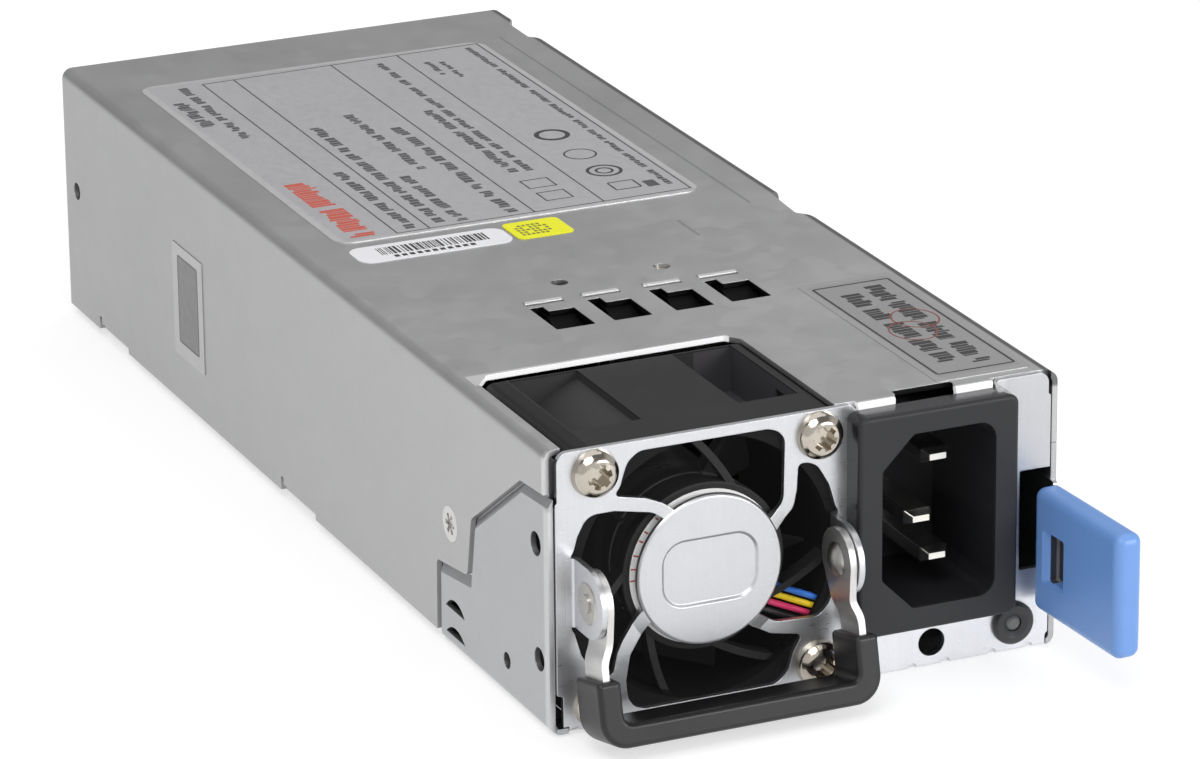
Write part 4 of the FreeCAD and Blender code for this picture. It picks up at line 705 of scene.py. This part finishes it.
text = Shape()
greek(text, -23.8, 47.0, 74.5, 1.5, z0, z1)
greek(text, -26.8, 54.2, 67.6, 2.2, z0, z1, (3.4, 4.2), 0.5)
greek(text, -17.8, -1.8, 26.2, 1.7, z0, z1)
greek(text, -13.0, -1.9, 47.4, 1.7, z0, z1)
greek(text, -9.9, -1.8, 20.4, 1.7, z0, z1)
greek(text, -6.2, 22.4, 51.2, 1.6, z0, z1)
greek(text, -2.1, -1.5, 42.4, 1.8, z0, z1)
greek(text, 7.8, 14.9, 73.3, 1.25, z0, z1)
greek(text, 5.35, 15.2, 48.0, 1.6, z0, z1, (5.0, 11.0))
greek(text, 14.8, 63.6, 70.8, 1.1, z0, z1)
greek(text, 16.9, 61.5, 70.0, 0.9, z0, z1)
greek(text, 23.4, -0.2, 75.0, 1.05, z0, z1, (3.0, 12.0), 1.0)
text.rect(20.2, 22.0, 0.6, 3.4, z0, z1)
text.make("label_type_rows", M["ink_grey"])

marks = Shape()
# plain outlines where the label has its row of symbols
for yy in (9.0, 3.0):
    marks.frame([(4.2, yy - 2.0), (8.6, yy - 2.0), (8.6, yy + 2.0), (4.2, yy + 2.0)], 0.24, z0, z1)
marks.frame(circle(17.4, 29.0, 2.7), 0.75, z0, z1)
marks.frame(circle(17.4, 18.8, 2.5), 0.28, z0, z1)
marks.frame(circle(17.4, 10.2, 2.7), 0.5, z0, z1)
marks.frame(circle(17.4, 10.2, 1.4), 0.4, z0, z1)
marks.frame(rounded(15.2, 19.4, 1.0, 4.8, 0.5), 0.28, z0, z1)
marks.make("label_plain_marks", M["ink"])

red = Shape()
greek(red, -25.2, -2.2, 24.0, 3.9, z0, z1, (9.5, 12.5), 1.5)
red.make("label_heading_bars", M["ink_red"])

bars = Shape()
x = -26.0
while x < -9.9:
    w = rng.choice((0.16, 0.16, 0.30, 0.45))
    bars.rect(x, x + w, -10.95, -7.9, z0, z1)
    x += w + rng.choice((0.16, 0.20, 0.34))
x = -24.6
while x < -12.0:
    bars.rect(x, x + 0.75, -12.45, -11.5, z0, z1)
    x += 1.15
bars.make("barcode_bars", M["ink"])

yz0, yz1 = 39.10 - 0.004, 39.10 + 0.012
ym = Shape()
for i in range(7):
    for j in range(5):
        if rng.random() < 0.62:
            ym.rect(-4.9 + i * 0.72, -4.9 + i * 0.72 + 0.5, -11.7 + j * 0.95, -11.7 + j * 0.95 + 0.62, yz0, yz1)
ym.make("sticker_marks", M["ink_olive"])

sz0, sz1 = 39.08 - 0.004, 39.08 + 0.010
seal = Shape()
seal.frame(rounded(21.3, 33.1, -87.7, -50.0, 0.5), 0.36, sz0, sz1)
seal.make("seal_border", M["ink"])
srow = Shape()
greek(srow, 25.2, -83.5, -54.0, 2.9, sz0, sz1, (3.4, 8.5), 1.2)
greek(srow, 29.4, -85.5, -52.0, 2.9, sz0, sz1, (4.5, 9.0), 1.2)
srow.make("seal_type_rows", M["ink"])
ring = Shape()
for cxx, cyy in ((26.4, -70.8), (28.9, -66.4)):
    ring.frame([(cxx + 3.3 * math.cos(2 * math.pi * k / 40), cyy + 3.9 * math.sin(2 * math.pi * k / 40)) for k in range(40)],
               0.26, sz0, sz1 + 0.004)
ring.make("seal_plain_rings", M["ink_brown"])


def on_left(a, b, c):
    return (-36.87 - c, a, b)


side = Shape()
side.prism(rounded(35.2, 43.0, 10.8, 24.0, 0.3), -0.004, 0.012, on_left)
side.make("side_sticker_window", M["window_grey"])
sideb = Shape()
sideb.frame(rounded(35.0, 43.2, 10.6, 24.2, 0.4), 0.18, -0.004, 0.020, on_left)
sideb.make("side_sticker_border", M["ink_grey"])


def on_fan(a, b, c):
    return (-14.3 + a, -91.35 - c, 19.5 + b)


# head of a fixing under the lid, seen in the right-hand hole behind the vents
fixing = Shape()
fixing.prism(circle(7.2, -31.8, 1.12, 40), 38.10, 38.45)
fixing.make("lid_fixing", M["nickel"])

# fine red ticks round the motor's sticker
ticks = Shape()
for k in range(7):
    t = math.radians(122 + 10.0 * k + rng.uniform(-2, 2))
    ln = rng.uniform(0.5, 0.8)
    r0 = 10.58 - ln
    ca, sa = math.cos(t), math.sin(t)
    wd = 0.11
    ticks.prism([(ca * r0 - sa * wd, sa * r0 + ca * wd), (ca * r0 + sa * wd, sa * r0 - ca * wd),
                 (ca * (r0 + ln) + sa * wd, sa * (r0 + ln) - ca * wd),
                 (ca * (r0 + ln) - sa * wd, sa * (r0 + ln) + ca * wd)], -0.003, 0.010, on_fan)
ticks.make("fan_sticker_ticks", M["ink_red"])


# ------------------------------------------------------------ floor and light
def floor():
    me = bpy.data.meshes.new("floor")
    s = 6.0
    me.from_pydata([(-s, -s, 0), (s, -s, 0), (s, s, 0), (-s, s, 0)], [], [(0, 1, 2, 3)])
    o = bpy.data.objects.new("floor", me)
    scene.collection.objects.link(o)
    o.location.z = -0.0004
    k = Mat("mat_floor")
    n = k.noise(0.02, 3.0, 0.5)
    me.materials.append(k.done(k.mix(1.0, (0.46, 0.46, 0.46), k.span(n, 0.3, 0.7, 0.985, 1.0), "MULTIPLY"), 0.6, 0.0,
                               Specular_IOR_Level=0.2, Emission_Color=(1.0, 1.0, 1.0, 1.0), Emission_Strength=0.60))


floor()


def world():
    w = bpy.data.worlds.new("studio")
    scene.world = w
    w.use_nodes = True
    t = w.node_tree
    t.nodes.clear()
    out = t.nodes.new("ShaderNodeOutputWorld")
    bg = t.nodes.new("ShaderNodeBackground")
    tc = t.nodes.new("ShaderNodeTexCoord")
    sep = t.nodes.new("ShaderNodeSeparateXYZ")
    t.links.new(tc.outputs["Generated"], sep.inputs[0])
    # darker behind the object, brighter in front and above
    mr = t.nodes.new("ShaderNodeMapRange")
    mr.inputs["From Min"].default_value = -0.9
    mr.inputs["From Max"].default_value = 0.9
    mr.inputs["To Min"].default_value = 0.84
    mr.inputs["To Max"].default_value = 0.42
    t.links.new(sep.outputs[1], mr.inputs["Value"])
    # and a dimmer ceiling straight overhead, outside the lamps
    up = t.nodes.new("ShaderNodeMapRange")
    up.inputs["From Min"].default_value = 0.50
    up.inputs["From Max"].default_value = 0.72
    up.inputs["To Min"].default_value = 1.0
    up.inputs["To Max"].default_value = 0.30
    t.links.new(sep.outputs[2], up.inputs["Value"])
    both = t.nodes.new("ShaderNodeMath")
    both.operation = "MULTIPLY"
    t.links.new(mr.outputs[0], both.inputs[0])
    t.links.new(up.outputs[0], both.inputs[1])
    rgb = t.nodes.new("ShaderNodeCombineColor")
    for i in range(3):
        t.links.new(both.outputs[0], rgb.inputs[i])
    t.links.new(rgb.outputs[0], bg.inputs["Color"])
    bg.inputs["Strength"].default_value = 1.0
    t.links.new(bg.outputs[0], out.inputs[0])


world()


def area(name, loc, target, size, power, colour=(1, 1, 1)):
    d = bpy.data.lights.new(name, "AREA")
    d.shape = "RECTANGLE"
    d.size, d.size_y = size
    d.energy = power
    d.color = colour
    o = bpy.data.objects.new(name, d)
    scene.collection.objects.link(o)
    o.location = loc
    o.rotation_mode = "QUATERNION"
    o.rotation_quaternion = (Vector(target) - Vector(loc)).to_track_quat("-Z", "Y")
    return o


area("key", (-0.45, -0.70, 1.05), (0, -0.02, 0.02), (0.7, 0.6), 6.5)
area("fill", (0.60, -1.00, 0.42), (0, -0.06, 0.02), (0.6, 0.4), 7.0)
area("top", (0.0, 0.25, 1.25), (0, 0, 0), (1.9, 1.5), 9.6)
